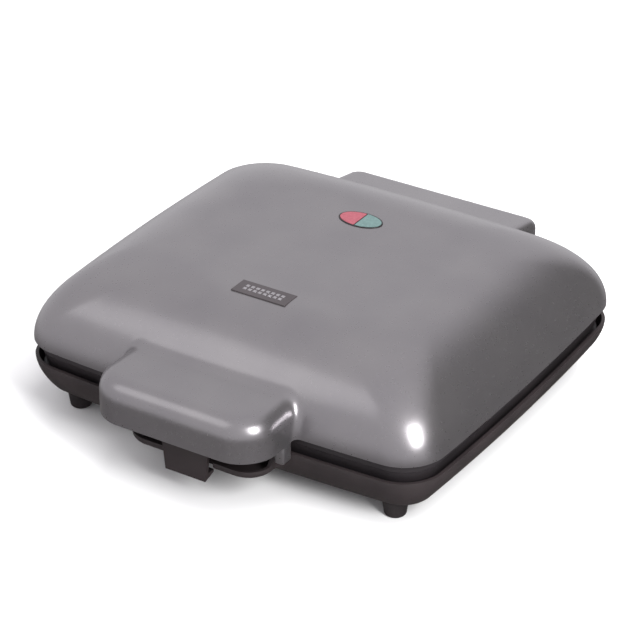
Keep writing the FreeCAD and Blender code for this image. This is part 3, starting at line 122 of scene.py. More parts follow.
world = bpy.data.worlds.new("studio")
bpy.context.scene.world = world
world.use_nodes = True
room = world.node_tree
room.nodes.clear()
direction = add_node(room, "ShaderNodeTexCoord").outputs["Generated"]
dark_side = Vector((0.72, 0.62, 0.20)).normalized()
facing = add_node(room, "ShaderNodeVectorMath", {"operation": "DOT_PRODUCT", 1: dark_side}, {0: direction})
shade = add_node(room, "ShaderNodeValToRGB", links={0: facing.outputs["Value"]})
shade.color_ramp.interpolation = "EASE"
shade.color_ramp.elements[0].position = 0.50
shade.color_ramp.elements[0].color = linear("#F2F0F4")
shade.color_ramp.elements[1].position = 0.90
shade.color_ramp.elements[1].color = linear("#585654")
height = add_node(room, "ShaderNodeSeparateXYZ", {}, {0: direction}).outputs["Z"]
below = add_node(room, "ShaderNodeMapRange",
                 {"From Min": -0.62, "From Max": -0.02, "To Min": 0.0, "To Max": 1.0}, {"Value": height})
dusk = add_node(room, "ShaderNodeValToRGB", {}, {0: below.outputs[0]})
dusk.color_ramp.interpolation = "EASE"
dusk.color_ramp.elements[0].color = linear("#6C6866")
dusk.color_ramp.elements[1].color = linear("#FFFFFF")
both = add_node(room, "ShaderNodeVectorMath", {"operation": "MULTIPLY"},
                {0: shade.outputs[0], 1: dusk.outputs[0]})
sky = add_node(room, "ShaderNodeBackground", {"Strength": 0.92}, {"Color": both.outputs[0]})
add_node(room, "ShaderNodeOutputWorld", links={"Surface": sky.outputs["Background"]})


def soft_box(name, place, width, height, power, mirrored=True):
    """A rectangular soft light that faces the object."""
    light = bpy.data.lights.new(name, "AREA")
    light.shape = "RECTANGLE"
    light.size, light.size_y = width, height
    light.energy = power
    lamp = bpy.data.objects.new(name, light)
    bpy.context.scene.collection.objects.link(lamp)
    lamp.location = place
    aim = Vector(place) - Vector((0, 0, 0.05))
    lamp.rotation_euler = aim.to_track_quat("Z", "Y").to_euler()
    lamp.visible_glossy = mirrored


soft_box("overhead_box", (0.55, 0.15, 1.4), 1.3, 1.3, 22, mirrored=False)
soft_box("corner_strip", (1.22, -0.59, 0.88), 0.36, 0.78, 27)
soft_box("front_left_box", (-0.62, -0.72, 1.05), 0.80, 0.70, 1.3)
bpy.context.scene.view_settings.view_transform = "Standard"

# ---------------------------------------------------------------- lid casing
# The lid is one injection moulding in ABS: a cushion-shaped dome that flows into the handle at the
# front and into the hinge cover at the back. It is sprayed in a satin silver-grey metallic paint.
edge_height, dome_rise, dome_inset = 0.0454, 0.0467, 0.0606
half_x, half_y = 0.140, 0.1237
front_bow, side_bow, corner_radius, corner_growth = 0.005, 0.0038, 0.0269, 0.2
handle_half, handle_reach, handle_top, handle_low = 0.0575, 0.162, 0.0685, 0.0435
hinge_half, hinge_reach, hinge_low = 0.0675, 0.1468, 0.0393
handle_root, handle_corner, handle_edge = 0.085, 0.023, 0.011
hinge_root, hinge_corner, hinge_edge = 0.085, 0.009, 0.005
roof_start, roof_front, roof_back = 0.1097, 0.0716, 0.0652
blend_width, hinge_blend = 0.0052, 0.7
lid_wall = 0.0024


def outline_arcs(inset, corner):
    """The casing outline's bowed front and side circles, and the centre of its corner circle."""
    front = ((half_x - inset) ** 2 + front_bow ** 2) / (2 * front_bow)
    side = ((half_y - inset) ** 2 + side_bow ** 2) / (2 * side_bow)
    front_centre, side_centre = half_y - inset - front, half_x - inset - side
    gap = np.sqrt(front_centre ** 2 + side_centre ** 2)
    along = ((front - corner) ** 2 - (side - corner) ** 2 + gap ** 2) / (2 * gap)
    across = np.sqrt((front - corner) ** 2 - along ** 2)
    unit_x, unit_y = side_centre / gap, -front_centre / gap
    corner_x = unit_x * along + unit_y * across
    corner_y = front_centre + unit_y * along - unit_x * across
    return front, side, front_centre, side_centre, corner_x, corner_y


def outline_distance(x, y, inset, corner):
    """Distance from the casing outline at that inset: below zero inside it."""
    x, y = np.abs(x), np.abs(y)
    front, side, front_centre, side_centre, corner_x, corner_y = outline_arcs(inset, corner)
    past_side = (corner_x - side_centre) * (y - corner_y) - corner_y * (x - corner_x) > 0
    past_front = (x - corner_x) * (corner_y - front_centre) - (y - corner_y) * corner_x > 0
    sides = np.maximum(np.hypot(x, y - front_centre) - front, np.hypot(x - side_centre, y) - side)
    return np.where(past_side & past_front, np.hypot(x - corner_x, y - corner_y) - corner, sides)


def dome_inset_at(x, y):
    """How far inside the lid's lower edge a point lies, along the dome's family of outlines."""
    low, high = np.full_like(x, -0.05), np.full_like(x, dome_inset * 1.2)
    for _ in range(26):
        guess = (low + high) / 2
        inside = outline_distance(x, y, guess, corner_radius + corner_growth * guess) < 0
        low, high = np.where(inside, guess, low), np.where(inside, high, guess)
    return (low + high) / 2


def dome_field(x, y, z):
    """Signed distance, more or less, from the cushion-shaped dome, a quarter ellipse in section."""
    run = np.maximum(1 - dome_inset_at(x, y) / dome_inset, 0)
    rise = np.maximum((z - edge_height) / dome_rise, 0)
    return (np.hypot(run, rise) - 1) * (dome_inset + dome_rise) / 2


def rounded_slab(x, y, z, half, front, rear, corner, top, edge):
    """A slab with rounded upright corners and a rounded top edge, open-ended below."""
    side = np.abs(x) - half + corner
    end = np.abs(y - (front + rear) / 2) - (rear - front) / 2 + corner
    wall = np.hypot(np.maximum(side, 0), np.maximum(end, 0)) + np.minimum(np.maximum(side, end), 0) - corner
    wall, lift = wall + edge, z - top + edge
    return np.hypot(np.maximum(wall, 0), np.maximum(lift, 0)) + np.minimum(np.maximum(wall, lift), 0) - edge


def melt(first, second, width):
    """Joins two fields with a concave fillet about as wide as given."""
    near = np.maximum(width - np.abs(first - second), 0) / width
    return np.minimum(first, second) - near * near * width / 4


def lid_field(points):
    """Signed distance, more or less, from the lid's outer surface."""
    x, y, z = points.T
    y = y - middle.y
    handle = rounded_slab(x, y, z, handle_half, -handle_reach, -handle_root, handle_corner, handle_top,
                          handle_edge)
    roof = roof_front - (y - roof_start) * (roof_front - roof_back) / (hinge_reach - roof_start)
    hinge = rounded_slab(x, y, z, hinge_half, hinge_root, hinge_reach, hinge_corner, roof, hinge_edge)
    return melt(melt(dome_field(x, y, z), handle, blend_width), hinge, blend_width * hinge_blend)


def slope(points, field):
    """The field's gradient at each point."""
    step = 2e-5
    axes = np.eye(3) * step
    return np.stack([(field(points + a) - field(points - a)) / (2 * step) for a in axes], axis=1)


def settle(mesh, field, rounds, relax):
    """Evens out the mesh and moves every vertex onto the field's surface."""
    shape = bmesh.new()
    shape.from_mesh(mesh)
    for turn in range(rounds):
        if turn and turn <= relax:
            bmesh.ops.smooth_vert(shape, verts=shape.verts, factor=0.5, use_axis_x=True, use_axis_y=True,
                                  use_axis_z=True)
        points = np.array([v.co for v in shape.verts])
        uphill = slope(points, field)
        reach = field(points) / np.maximum((uphill ** 2).sum(1), 1e-3)
        points -= uphill * np.clip(reach, -0.006, 0.006)[:, None]
        for vertex, spot in zip(shape.verts, points):
            vertex.co = spot
    return shape


def apply_modifier(piece, kind, **settings):
    """Adds a modifier and makes its result the piece's own mesh."""
    modifier = piece.modifiers.new(kind.lower(), kind)
    for name, setting in settings.items():
        setattr(modifier, name, setting)
    bpy.context.view_layer.update()
    mesh = bpy.data.meshes.new_from_object(piece.evaluated_get(bpy.context.evaluated_depsgraph_get()))
    piece.modifiers.clear()
    piece.data = mesh
    return mesh


def block(shape, low, high):
    """A cuboid between two corners, added to the bmesh; returns its vertices."""
    made = bmesh.ops.create_cube(shape, size=1)["verts"]
    size = [high[i] - low[i] for i in range(3)]
    centre = Vector([(high[i] + low[i]) / 2 for i in range(3)])
    bmesh.ops.scale(shape, verts=made, vec=size)
    bmesh.ops.translate(shape, verts=made, vec=centre)
    return made


skirt_low = 0.030
rough = bmesh.new()
steps = 7
block(rough, (-half_x, middle.y - half_y, skirt_low), (half_x, middle.y + half_y, edge_height))
uprights = [e for e in rough.edges if abs(e.verts[0].co.z - e.verts[1].co.z) > 0.001]
bmesh.ops.bevel(rough, geom=uprights, offset=corner_radius, segments=8, affect="EDGES", profile=0.5,
                material=-1)
top = max(rough.faces, key=lambda f: f.calc_center_median().z)
for step in range(1, steps + 1):
    turn = math.radians(90 * step / steps)
    grown = bmesh.ops.extrude_face_region(rough, geom=[top])["geom"]
    bmesh.ops.delete(rough, geom=[top], context="FACES_ONLY")
    top = [g for g in grown if isinstance(g, bmesh.types.BMFace)][0]
    inset = dome_inset * (1 - math.cos(turn))
    factor = [(h - inset) / max(abs(v.co[i] - middle[i]) for v in top.verts)
              for i, h in enumerate((half_x, half_y))]
    bmesh.ops.scale(rough, verts=top.verts, vec=(*factor, 1), space=Matrix.Translation(-middle))
    for vertex in top.verts:
        vertex.co.z = edge_height + dome_rise * math.sin(turn)
block(rough, (-handle_half, middle.y - handle_reach, skirt_low),
      (handle_half, middle.y - handle_root, handle_top))
block(rough, (-hinge_half, middle.y + hinge_root, skirt_low),
      (hinge_half, middle.y + hinge_reach, (roof_front + roof_back) / 2 - 0.0014))

# Paint over plastic: the mica flakes give a soft metallic sheen, the clear lacquer a crisp gloss.
silver, tree, shader = new_finish("satin_silver_metallic_paint", {
    "Metallic": 0.85, "IOR": 1.5, "Coat Weight": 0.35, "Coat Roughness": 0.13, "Coat IOR": 1.5})
where = add_node(tree, "ShaderNodeTexCoord").outputs["Object"]
flake_size, cloud_size = 0.0006, 0.045
flakes = add_node(tree, "ShaderNodeTexVoronoi", {"Scale": 1 / flake_size}, {"Vector": where})
cloud = add_node(tree, "ShaderNodeTexNoise", {"Scale": 1 / cloud_size, "Detail": 2.0}, {"Vector": where})
tint = add_node(tree, "ShaderNodeValToRGB", {}, {0: cloud.outputs[0]})
tint.color_ramp.elements[0].position, tint.color_ramp.elements[1].position = 0.3, 0.7
tint.color_ramp.elements[0].color = linear("#858285")
tint.color_ramp.elements[1].color = linear("#8C898B")
sparkle = add_node(tree, "ShaderNodeMapRange", {"To Min": 0.27, "To Max": 0.31}, {0: flakes.outputs["Color"]})
grain = add_node(tree, "ShaderNodeBump", {"Strength": 0.02, "Distance": 0.00005},
                 {"Height": flakes.outputs["Distance"]})
tree.links.new(tint.outputs[0], shader.inputs["Base Color"])
tree.links.new(sparkle.outputs[0], shader.inputs["Roughness"])
tree.links.new(grain.outputs[0], shader.inputs["Normal"])

lid = mesh_piece("lid_casing", rough, silver)
voxel = 0.0018
apply_modifier(lid, "REMESH", mode="VOXEL", voxel_size=voxel)
skin = settle(lid.data, lid_field, rounds=9, relax=5)


def rim_height(points):
    """The lid's lower edge: level round the dome, lower where the handle and hinge cover stand out."""
    x, y = points[:, 0], points[:, 1] - middle.y
    out = np.maximum(-dome_inset_at(x, y), 0)
    share = np.clip(out / 0.006, 0, 1)
    share = share * share * (3 - 2 * share)
    return edge_height - np.where(y < 0, edge_height - handle_low, edge_height - hinge_low) * share


def lift_rim(shape, sign):
    """Shears the skin so that its wavy rim is level, or with -1 back again."""
    points = np.array([v.co for v in shape.verts])
    for vertex, height in zip(shape.verts, rim_height(points)):
        vertex.co.z += sign * (edge_height - height)


lift_rim(skin, 1)
bmesh.ops.bisect_plane(skin, geom=skin.verts[:] + skin.edges[:] + skin.faces[:], plane_co=(0, 0, edge_height),
                       plane_no=(0, 0, -1), clear_outer=True)
lift_rim(skin, -1)
rim = [v for v in skin.verts if v.is_boundary]
bmesh.ops.remove_doubles(skin, verts=rim, dist=voxel * 0.35)
skin.to_mesh(lid.data)
skin.free()
apply_modifier(lid, "SOLIDIFY", thickness=lid_wall, offset=-1, use_even_offset=True, use_rim=True)


def carve(piece, cutter):
    """Cuts a closed bmesh out of a piece."""
    mesh = bpy.data.meshes.new("cutter")
    cutter.to_mesh(mesh)
    cutter.free()
    tool = bpy.data.objects.new("cutter", mesh)
    bpy.context.scene.collection.objects.link(tool)
    apply_modifier(piece, "BOOLEAN", object=tool, operation="DIFFERENCE", solver="EXACT")
    bpy.data.objects.remove(tool)


bezel_low, bezel_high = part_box("indicator_bezel")
badge_low, badge_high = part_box("name_plate")
openings = bmesh.new()
window = bmesh.ops.create_cone(openings, cap_ends=True, segments=96, radius1=0.5, radius2=0.5,
                               depth=0.02)["verts"]
bmesh.ops.scale(openings, verts=window, vec=(bezel_high.x - bezel_low.x, bezel_high.y - bezel_low.y, 1))
bmesh.ops.translate(openings, verts=window, vec=(bezel_low + bezel_high) / 2)
block(openings, badge_low, badge_high + Vector((0, 0, 0.005)))
carve(lid, openings)
lid.data.shade_smooth()
lid.data.set_sharp_from_angle(angle=math.radians(45))
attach(lid, "lid")
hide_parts("lid_shell")



# ---------------------------------------------------------------- handle tabs and hinge lugs
# Parts of the same lid moulding: a tab under each end of the handle, and inside the hinge cover a lug
# with a round knuckle on each side that turns on the hinge pin.
shell_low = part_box("lid_shell")[0]
pin_low, pin_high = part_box("hinge_pin_right")
axis_y, axis_z = (pin_low.y + pin_high.y) / 2, (pin_low.z + pin_high.z) / 2
ribs = bmesh.new()
tab_depth, tab_thick, lug_gap, knuckle_radius = 0.009, 0.0066, 0.0088, 0.0055
tab_back = middle.y - half_y - 0.0004
block(ribs, (handle_half - tab_thick, tab_back - tab_depth, shell_low.z),
      (handle_half - 0.0001, tab_back, handle_low + 0.001))
bmesh.ops.bevel(ribs, geom=ribs.edges[:], offset=0.0016, segments=5, affect="EDGES", profile=0.5, material=-1)
lug_start, lug_end = pin_low.x + lug_gap, hinge_half - 0.0018
knuckle = bmesh.ops.create_cone(ribs, cap_ends=True, segments=48, radius1=knuckle_radius,
                                radius2=knuckle_radius, depth=lug_end - lug_start)["verts"]
bmesh.ops.rotate(ribs, verts=knuckle, matrix=Matrix.Rotation(math.radians(90), 3, "Y"))
bmesh.ops.translate(ribs, verts=knuckle, vec=((lug_start + lug_end) / 2, axis_y, axis_z))
block(ribs, (lug_start, axis_y - 0.0045, axis_z), (lug_end, axis_y + 0.0045, 0.0625))
bmesh.ops.mirror(ribs, geom=ribs.verts[:] + ribs.edges[:] + ribs.faces[:], axis="X", merge_dist=0)
bmesh.ops.recalc_face_normals(ribs, faces=ribs.faces)
mesh_piece("handle_tabs_and_hinge_lugs", ribs, silver, "lid")

# ---------------------------------------------------------------- base casing
# The tub that everything stands in, one ABS moulding: its wall tucks under in a curve, and at the front
# it sweeps out into a shallow lip under the handle, notched in the middle for the latch.
tub_low, tub_rim, lip_rim, lip_floor = 0.012, 0.0345, 0.0256, 0.020
tuck, rim_inset, tub_wall = 0.0113, 0.0002, 0.0020
lip_half, lip_reach, lip_root, lip_corner, lip_edge = 0.0465, 0.1427, 0.09, 0.016, 0.0045
lip_blend, trim = 0.006, 0.010


def tub_distance(x, y, z):
    """Signed distance, more or less, from the tub, whose wall tucks under towards its floor."""
    share = np.clip((z - tub_low) / (tub_rim - tub_low), 0, 1.4)
    inset = rim_inset + tuck * np.maximum(1 - share, 0) ** 1.7
    wall = outline_distance(x, y, inset, corner_radius - inset) * 0.93
    edge = 0.003
    wall, drop = wall + edge, tub_low - z + edge
    return np.hypot(np.maximum(wall, 0), np.maximum(drop, 0)) + np.minimum(np.maximum(wall, drop), 0) - edge


def base_field(points):
    """Signed distance, more or less, from the tub and its lip."""
    x, y, z = points.T
    y = y - middle.y
    lip = rounded_slab(x, y, -z, lip_half, -lip_reach, -lip_root, lip_corner, -lip_floor, lip_edge)
    return melt(tub_distance(x, y, z), lip, lip_blend)


def base_rim_height(points):
    """The base's upper edge: level round the tub, dipping where the lip stands out."""
    x, y = points[:, 0], points[:, 1] - middle.y
    out = outline_distance(x, y, np.full_like(x, rim_inset), corner_radius)
    share = np.clip((out - 0.0004) / 0.0075, 0, 1) * (y < 0)
    return tub_rim - (tub_rim - lip_rim) * share * share * (3 - 2 * share)


tub = bmesh.new()
block(tub, (-half_x, middle.y - half_y, tub_low), (half_x, middle.y + half_y, tub_rim + trim))
tub_uprights = [e for e in tub.edges if abs(e.verts[0].co.z - e.verts[1].co.z) > 0.001]
bmesh.ops.bevel(tub, geom=tub_uprights, offset=corner_radius, segments=8, affect="EDGES", profile=0.5,
                material=-1)
block(tub, (-lip_half, middle.y - lip_reach, lip_floor), (lip_half, middle.y - lip_root, tub_rim + trim))


def moulded_plastic(name, dark, light, roughness, spark_size, depth, specular=0.35):
    """ABS from a spark-eroded mould: an even, very fine grain and a slightly uneven colour."""
    material, tree, shader = new_finish(name, {"IOR": 1.5, "Specular IOR Level": specular})
    where = add_node(tree, "ShaderNodeTexCoord").outputs["Object"]
    spark = add_node(tree, "ShaderNodeTexNoise", {"Scale": 1 / spark_size, "Detail": 2.0}, {"Vector": where})
    flow = add_node(tree, "ShaderNodeTexNoise", {"Scale": 1 / 0.030, "Detail": 2.0}, {"Vector": where})
    tint = add_node(tree, "ShaderNodeValToRGB", {}, {0: flow.outputs[0]})
    tint.color_ramp.elements[0].position, tint.color_ramp.elements[1].position = 0.35, 0.65
    tint.color_ramp.elements[0].color = linear(dark)
    tint.color_ramp.elements[1].color = linear(light)
    gloss = add_node(tree, "ShaderNodeMapRange", {"To Min": roughness - 0.04, "To Max": roughness + 0.04},
                     {0: spark.outputs[0]})
    grain = add_node(tree, "ShaderNodeBump", {"Strength": 0.3, "Distance": depth}, {"Height": spark.outputs[0]})
    tree.links.new(tint.outputs[0], shader.inputs["Base Color"])
    tree.links.new(gloss.outputs[0], shader.inputs["Roughness"])
    tree.links.new(grain.outputs[0], shader.inputs["Normal"])
    return material


# Charcoal brown, evenly dull.
charcoal = moulded_plastic("spark_textured_charcoal_abs", "#2A2526", "#312B2C", 0.46, 0.0007, 0.00006)
casing = mesh_piece("base_casing", tub, charcoal)
apply_modifier(casing, "REMESH", mode="VOXEL", voxel_size=voxel)
open_tub = bmesh.new()
open_tub.from_mesh(casing.data)
bmesh.ops.delete(open_tub, geom=[f for f in open_tub.faces if f.calc_center_median().z > tub_rim + 0.0075],
                 context="FACES")
open_tub.to_mesh(casing.data)
open_tub.free()
skin = settle(casing.data, base_field, rounds=8, relax=4)


def lift_base_rim(shape, sign):
    """The same shear for the base's rim."""
    points = np.array([v.co for v in shape.verts])
    for vertex, height in zip(shape.verts, base_rim_height(points)):
        vertex.co.z += sign * (tub_rim - height)


lift_base_rim(skin, 1)
bmesh.ops.bisect_plane(skin, geom=skin.verts[:] + skin.edges[:] + skin.faces[:], plane_co=(0, 0, tub_rim),
                       plane_no=(0, 0, 1), clear_outer=True)
lift_base_rim(skin, -1)
bmesh.ops.remove_doubles(skin, verts=[v for v in skin.verts if v.is_boundary], dist=voxel * 0.35)
skin.to_mesh(casing.data)
skin.free()
apply_modifier(casing, "SOLIDIFY", thickness=tub_wall, offset=-1, use_even_offset=True, use_rim=True)
latch_low, latch_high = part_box("latch")
screw_low, screw_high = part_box("base_screws")
head_radius, post_radius = 0.0031, 0.0045
screw_spots = [(x, y) for x in (screw_low.x + head_radius, screw_high.x - head_radius)
               for y in (screw_low.y + head_radius, screw_high.y - head_radius)]
holes = bmesh.new()
block(holes, (latch_low.x - 0.0012, middle.y - lip_reach - 0.01, lip_floor - 0.005),
      (latch_high.x + 0.0012, middle.y - lip_reach + 0.0062, tub_rim))
for x, y in screw_spots:
    recess = bmesh.ops.create_cone(holes, cap_ends=True, segments=32, radius1=head_radius + 0.0003,
                                   radius2=head_radius + 0.0003, depth=0.008)["verts"]
    bmesh.ops.translate(holes, verts=recess, vec=(x, y, tub_low))
carve(casing, holes)
posts = bmesh.new()
posts.from_mesh(casing.data)
for x, y in screw_spots:
    post = bmesh.ops.create_cone(posts, cap_ends=True, segments=32, radius1=post_radius, radius2=post_radius,
                                 depth=0.0068)["verts"]
    bmesh.ops.translate(posts, verts=post, vec=(x, y, 0.0192))
posts.to_mesh(casing.data)
posts.free()
casing.data.shade_smooth()
casing.data.set_sharp_from_angle(angle=math.radians(45))
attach(casing, "base")
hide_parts("base_shell")

# ---------------------------------------------------------------- liners
# Two heat-resistant frames, black PBT, that hold the plates clear of the casings. The mould leaves a
# small radius on every edge.


def soften_edges(name, node, material, body, radius, segments=2, sharp=28):
    """A piece with a CAD node's shape whose edges are rounded as a mould or a tumbler leaves them."""
    shape = bmesh.new()
    shape.from_mesh(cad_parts[node].data)
    bmesh.ops.remove_doubles(shape, verts=shape.verts, dist=1e-6)
    edges = [e for e in shape.edges if e.is_manifold and e.calc_face_angle(0) > math.radians(sharp)]
    bmesh.ops.bevel(shape, geom=edges, offset=radius, segments=segments, affect="EDGES", profile=0.5,
                    material=-1, clamp_overlap=True)
    piece = mesh_piece(name, shape, material, body)
    piece.modifiers.new("flat_faces_stay_flat", "WEIGHTED_NORMAL").keep_sharp = True
    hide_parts(node)
    return piece


black_pbt = moulded_plastic("moulded_black_pbt", "#282527", "#2E2A2C", 0.38, 0.0009, 0.00004, 0.3)
soften_edges("base_frame", "base_liner", black_pbt, "base", 0.0004)
soften_edges("lid_frame", "lid_liner", black_pbt, "lid", 0.0004)

# ---------------------------------------------------------------- baking plates
# Die-cast aluminium under a sprayed non-stick coating, which is charcoal, faintly speckled, and shines
# softly. Each plate has four square pockets.
coating, tree, shader = new_finish("sprayed_non_stick_coating", {
    "Metallic": 0.0, "IOR": 1.45, "Coat Weight": 0.25, "Coat Roughness": 0.22})
where = add_node(tree, "ShaderNodeTexCoord").outputs["Object"]
speck_size = 0.0008
speck = add_node(tree, "ShaderNodeTexVoronoi", {"Scale": 1 / speck_size}, {"Vector": where})
tint = add_node(tree, "ShaderNodeValToRGB", {}, {0: speck.outputs["Distance"]})
tint.color_ramp.elements[0].position, tint.color_ramp.elements[1].position = 0.08, 0.3
tint.color_ramp.elements[0].color = linear("#4A494B")
tint.color_ramp.elements[1].color = linear("#272728")
peel = add_node(tree, "ShaderNodeTexNoise", {"Scale": 1 / 0.0022, "Detail": 2.0}, {"Vector": where})
gloss = add_node(tree, "ShaderNodeMapRange", {"To Min": 0.30, "To Max": 0.40}, {0: peel.outputs[0]})
ripple = add_node(tree, "ShaderNodeBump", {"Strength": 0.25, "Distance": 0.0001}, {"Height": peel.outputs[0]})
tree.links.new(tint.outputs[0], shader.inputs["Base Color"])
tree.links.new(gloss.outputs[0], shader.inputs["Roughness"])
tree.links.new(ripple.outputs[0], shader.inputs["Normal"])
soften_edges("lower_baking_plate", "lower_plate", coating, "base", 0.0009, segments=3)
soften_edges("upper_baking_plate", "upper_plate", coating, "lid", 0.0009, segments=3)

# ---------------------------------------------------------------- heating parts
# Behind each plate: a steel-sheathed element, zinc-plated clips and thermostat, and a rolled aluminium
# reflector. In the base also a fuse in its glass-fibre sleeve, a nylon terminal block and the wiring.


def fine_finish(name, nodes, dark, light, streak, depth, settings):
    """A finish with a fine two-tone pattern, put on CAD nodes; streak is the pattern's size each way."""
    material, tree, shader = new_finish(name, settings)
    where = add_node(tree, "ShaderNodeTexCoord").outputs["Object"]
    scale = add_node(tree, "ShaderNodeMapping", {"Scale": [0.001 / s for s in streak]}, {"Vector": where})
    mark = add_node(tree, "ShaderNodeTexNoise", {"Scale": 1000.0, "Detail": 2.0}, {"Vector": scale.outputs[0]})
    tint = add_node(tree, "ShaderNodeValToRGB", {}, {0: mark.outputs[0]})
    tint.color_ramp.elements[0].position, tint.color_ramp.elements[1].position = 0.3, 0.7
    tint.color_ramp.elements[0].color = linear(dark)
    tint.color_ramp.elements[1].color = linear(light)
    relief = add_node(tree, "ShaderNodeBump", {"Strength": 0.3, "Distance": depth}, {"Height": mark.outputs[0]})
    tree.links.new(tint.outputs[0], shader.inputs["Base Color"])
    tree.links.new(relief.outputs[0], shader.inputs["Normal"])
    for node in nodes:
        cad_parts[node].data.materials.clear()
        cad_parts[node].data.materials.append(material)
    return material


# Oxidised by heat: brown-grey with bluish patches.
fine_finish("heat_tinted_steel_sheath", ["lower_heating_element", "upper_heating_element"], "#4A4440",
            "#6B6970", (0.006, 0.006, 0.006), 0.00002, {"Metallic": 0.9, "Roughness": 0.42})
# Small crystals of zinc, dull silver with a cold cast.
fine_finish("zinc_plated_steel", ["lower_element_clips", "upper_element_clips", "thermostat",
                                  "thermostat_bracket"], "#A3A5A6", "#C2C4C6", (0.0012, 0.0012, 0.0012),
            0.00002, {"Metallic": 1.0, "Roughness": 0.34})
# Rolled sheet has faint lines along the roll.
fine_finish("rolled_aluminium_sheet", ["lower_heat_reflector", "upper_heat_reflector"], "#BFC1C4", "#DADBDD",
            (0.0006, 0.03, 0.0006), 0.00002, {"Metallic": 1.0, "Roughness": 0.28})
# Off-white woven glass fibre over the fuse.
fine_finish("glass_fibre_sleeve", ["thermal_fuse"], "#CFCBBE", "#E4E1D6", (0.0005, 0.0005, 0.0005), 0.0001,
            {"IOR": 1.5, "Roughness": 0.75})
# Natural nylon, milky and slightly waxy.
fine_finish("natural_nylon", ["terminal_block"], "#DADAD2", "#E8E8E2", (0.004, 0.004, 0.004), 0.00002,
            {"IOR": 1.53, "Roughness": 0.4, "Subsurface Weight": 0.1,
             "Subsurface Radius": (0.002, 0.002, 0.002), "Subsurface Scale": 1.0})
# Braided silicone sleeving, buff coloured.
fine_finish("braided_silicone_sleeve", ["loom_lower", "loom_upper"], "#A59E8C", "#C2BBA8",
            (0.0009, 0.0009, 0.0009), 0.00015, {"IOR": 1.41, "Roughness": 0.6})
# FR4 board: green solder mask over glass weave.
fine_finish("green_board_laminate", ["lamp_board"], "#20512F", "#2B6A3D", (0.0008, 0.0008, 0.0008), 0.00003,
            {"IOR": 1.55, "Roughness": 0.3})
# Small neon lamps in clear glass.
fine_finish("lamp_glass_bulb", ["power_lamp", "ready_lamp"], "#E6E4DF", "#F2F1EE", (0.003, 0.003, 0.003),
            0.00001, {"IOR": 1.5, "Roughness": 0.05, "Transmission Weight": 0.7})

# ---------------------------------------------------------------- latch and handle cover
# The latch is a thin ABS flap with a hook at its foot that catches under the lip. It hangs on a steel pin
# in the plate that closes the underside of the handle.
latch_abs = moulded_plastic("moulded_brown_black_abs", "#2A2425", "#302A2B", 0.42, 0.0007, 0.00005, 0.3)
soften_edges("latch_flap", "latch", latch_abs, "latch", 0.0005, segments=3)
soften_edges("handle_underside", "handle_cover", black_pbt, "lid", 0.0003)

# ---------------------------------------------------------------- rear bracket and cord gland
# A hollow ABS block screwed to the back of the tub. It carries the two curved ears of the hinge, and a
# rubber gland where the mains lead comes in.
soften_edges("hinge_bracket", "rear_bracket", charcoal, "base", 0.0006, segments=3)
gland_rubber = moulded_plastic("moulded_black_rubber", "#161516", "#1D1C1D", 0.62, 0.0011, 0.00008, 0.25)
soften_edges("lead_gland", "cord_gland", gland_rubber, "base", 0.0005, segments=3)

# ---------------------------------------------------------------- feet, screws and pins
# Four tapered feet of soft PVC, and zinc-plated steel screws and ground steel pins.
foot_rubber = moulded_plastic("moulded_charcoal_pvc", "#231F20", "#2A2627", 0.6, 0.0012, 0.00008, 0.25)
for place in ("front_left", "front_right", "rear_left", "rear_right"):
    soften_edges("soft_foot_" + place, "foot_" + place, foot_rubber, "base", 0.0013, segments=4)
fine_finish("bright_zinc_screw", ["foot_screws", "bracket_screws", "base_screws", "lid_screws",
                                  "lower_plate_screws", "upper_plate_screws", "lamp_board_screws"],
            "#9FA0A2", "#C6C7C9", (0.0008, 0.0008, 0.0008), 0.00003, {"Metallic": 1.0, "Roughness": 0.3})
# Ground along its length: bright, with very fine lines.
fine_finish("ground_steel_pin", ["hinge_pin_left", "hinge_pin_right", "latch_pin"], "#A8A9AB", "#C9CACC",
            (0.02, 0.0004, 0.0004), 0.00001, {"Metallic": 1.0, "Roughness": 0.2})

# ---------------------------------------------------------------- indicator window
# An oval window near the back of the dome: a thin black bezel with a bar across, and two pressed acrylic
# lenses, red for power and green for ready. Each lens is crowned and frosted beneath.
bezel_black = moulded_plastic("moulded_black_bezel", "#1B191A", "#211F20", 0.3, 0.0009, 0.00003)
soften_edges("window_bezel", "indicator_bezel", bezel_black, "lid", 0.0002)


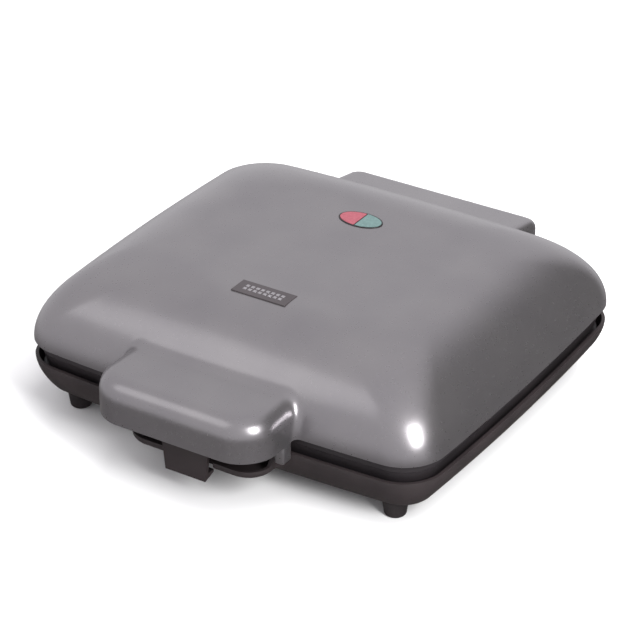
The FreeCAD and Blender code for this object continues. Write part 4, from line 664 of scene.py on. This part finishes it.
def lens_acrylic(name, deep, pale):
    """Tinted acrylic with rows of small prisms beneath, which break the colour up."""
    material, tree, shader = new_finish(name, {"IOR": 1.49, "Coat Weight": 0.3, "Coat Roughness": 0.1,
                                               "Roughness": 0.32, "Transmission Weight": 0.12})
    where = add_node(tree, "ShaderNodeTexCoord").outputs["Object"]
    prism_size = 0.0016
    prism = add_node(tree, "ShaderNodeTexVoronoi", {"Scale": 1 / prism_size}, {"Vector": where})
    tint = add_node(tree, "ShaderNodeValToRGB", {}, {0: prism.outputs["Distance"]})
    tint.color_ramp.elements[0].position, tint.color_ramp.elements[1].position = 0.1, 0.8
    tint.color_ramp.elements[0].color = linear(pale)
    tint.color_ramp.elements[1].color = linear(deep)
    tree.links.new(tint.outputs[0], shader.inputs["Base Color"])
    return material


soften_edges("power_lens", "indicator_lens_red", lens_acrylic("frosted_red_acrylic", "#96414E", "#A34D5A"),
             "lid", 0.0005, segments=3)
soften_edges("ready_lens", "indicator_lens_green", lens_acrylic("frosted_green_acrylic", "#567270", "#62807D"),
             "lid", 0.0005, segments=3)

# ---------------------------------------------------------------- name plate
# A thin enamelled aluminium plate let into the dome. Its marking is a plain row of raised squares, like
# a waffle's, in silver.
enamel = moulded_plastic("charcoal_stove_enamel", "#3B3638", "#433E40", 0.3, 0.0012, 0.00003)
soften_edges("name_plate_sheet", "name_plate", enamel, "lid", 0.0003)
squares = bmesh.new()
square, pitch, lift = 0.0022, 0.0034, 0.00008
badge_middle = (badge_low + badge_high) / 2
for column in range(8):
    for row in range(2):
        x = badge_middle.x + (column - 3.5) * pitch
        y = badge_middle.y + (row - 0.5) * pitch
        block(squares, (x - square / 2, y - square / 2, badge_high.z - 0.0002),
              (x + square / 2, y + square / 2, badge_high.z + lift))
bmesh.ops.bevel(squares, geom=squares.edges[:], offset=0.00006, segments=1, affect="EDGES", profile=0.5,
                material=-1)
silver_foil = fine_finish("hot_stamped_silver_foil", [], "#A3A0A3", "#B9B6B9", (0.001, 0.001, 0.001), 0.00001,
                          {"Metallic": 0.9, "Roughness": 0.35})
mesh_piece("name_plate_squares", squares, silver_foil, "lid")
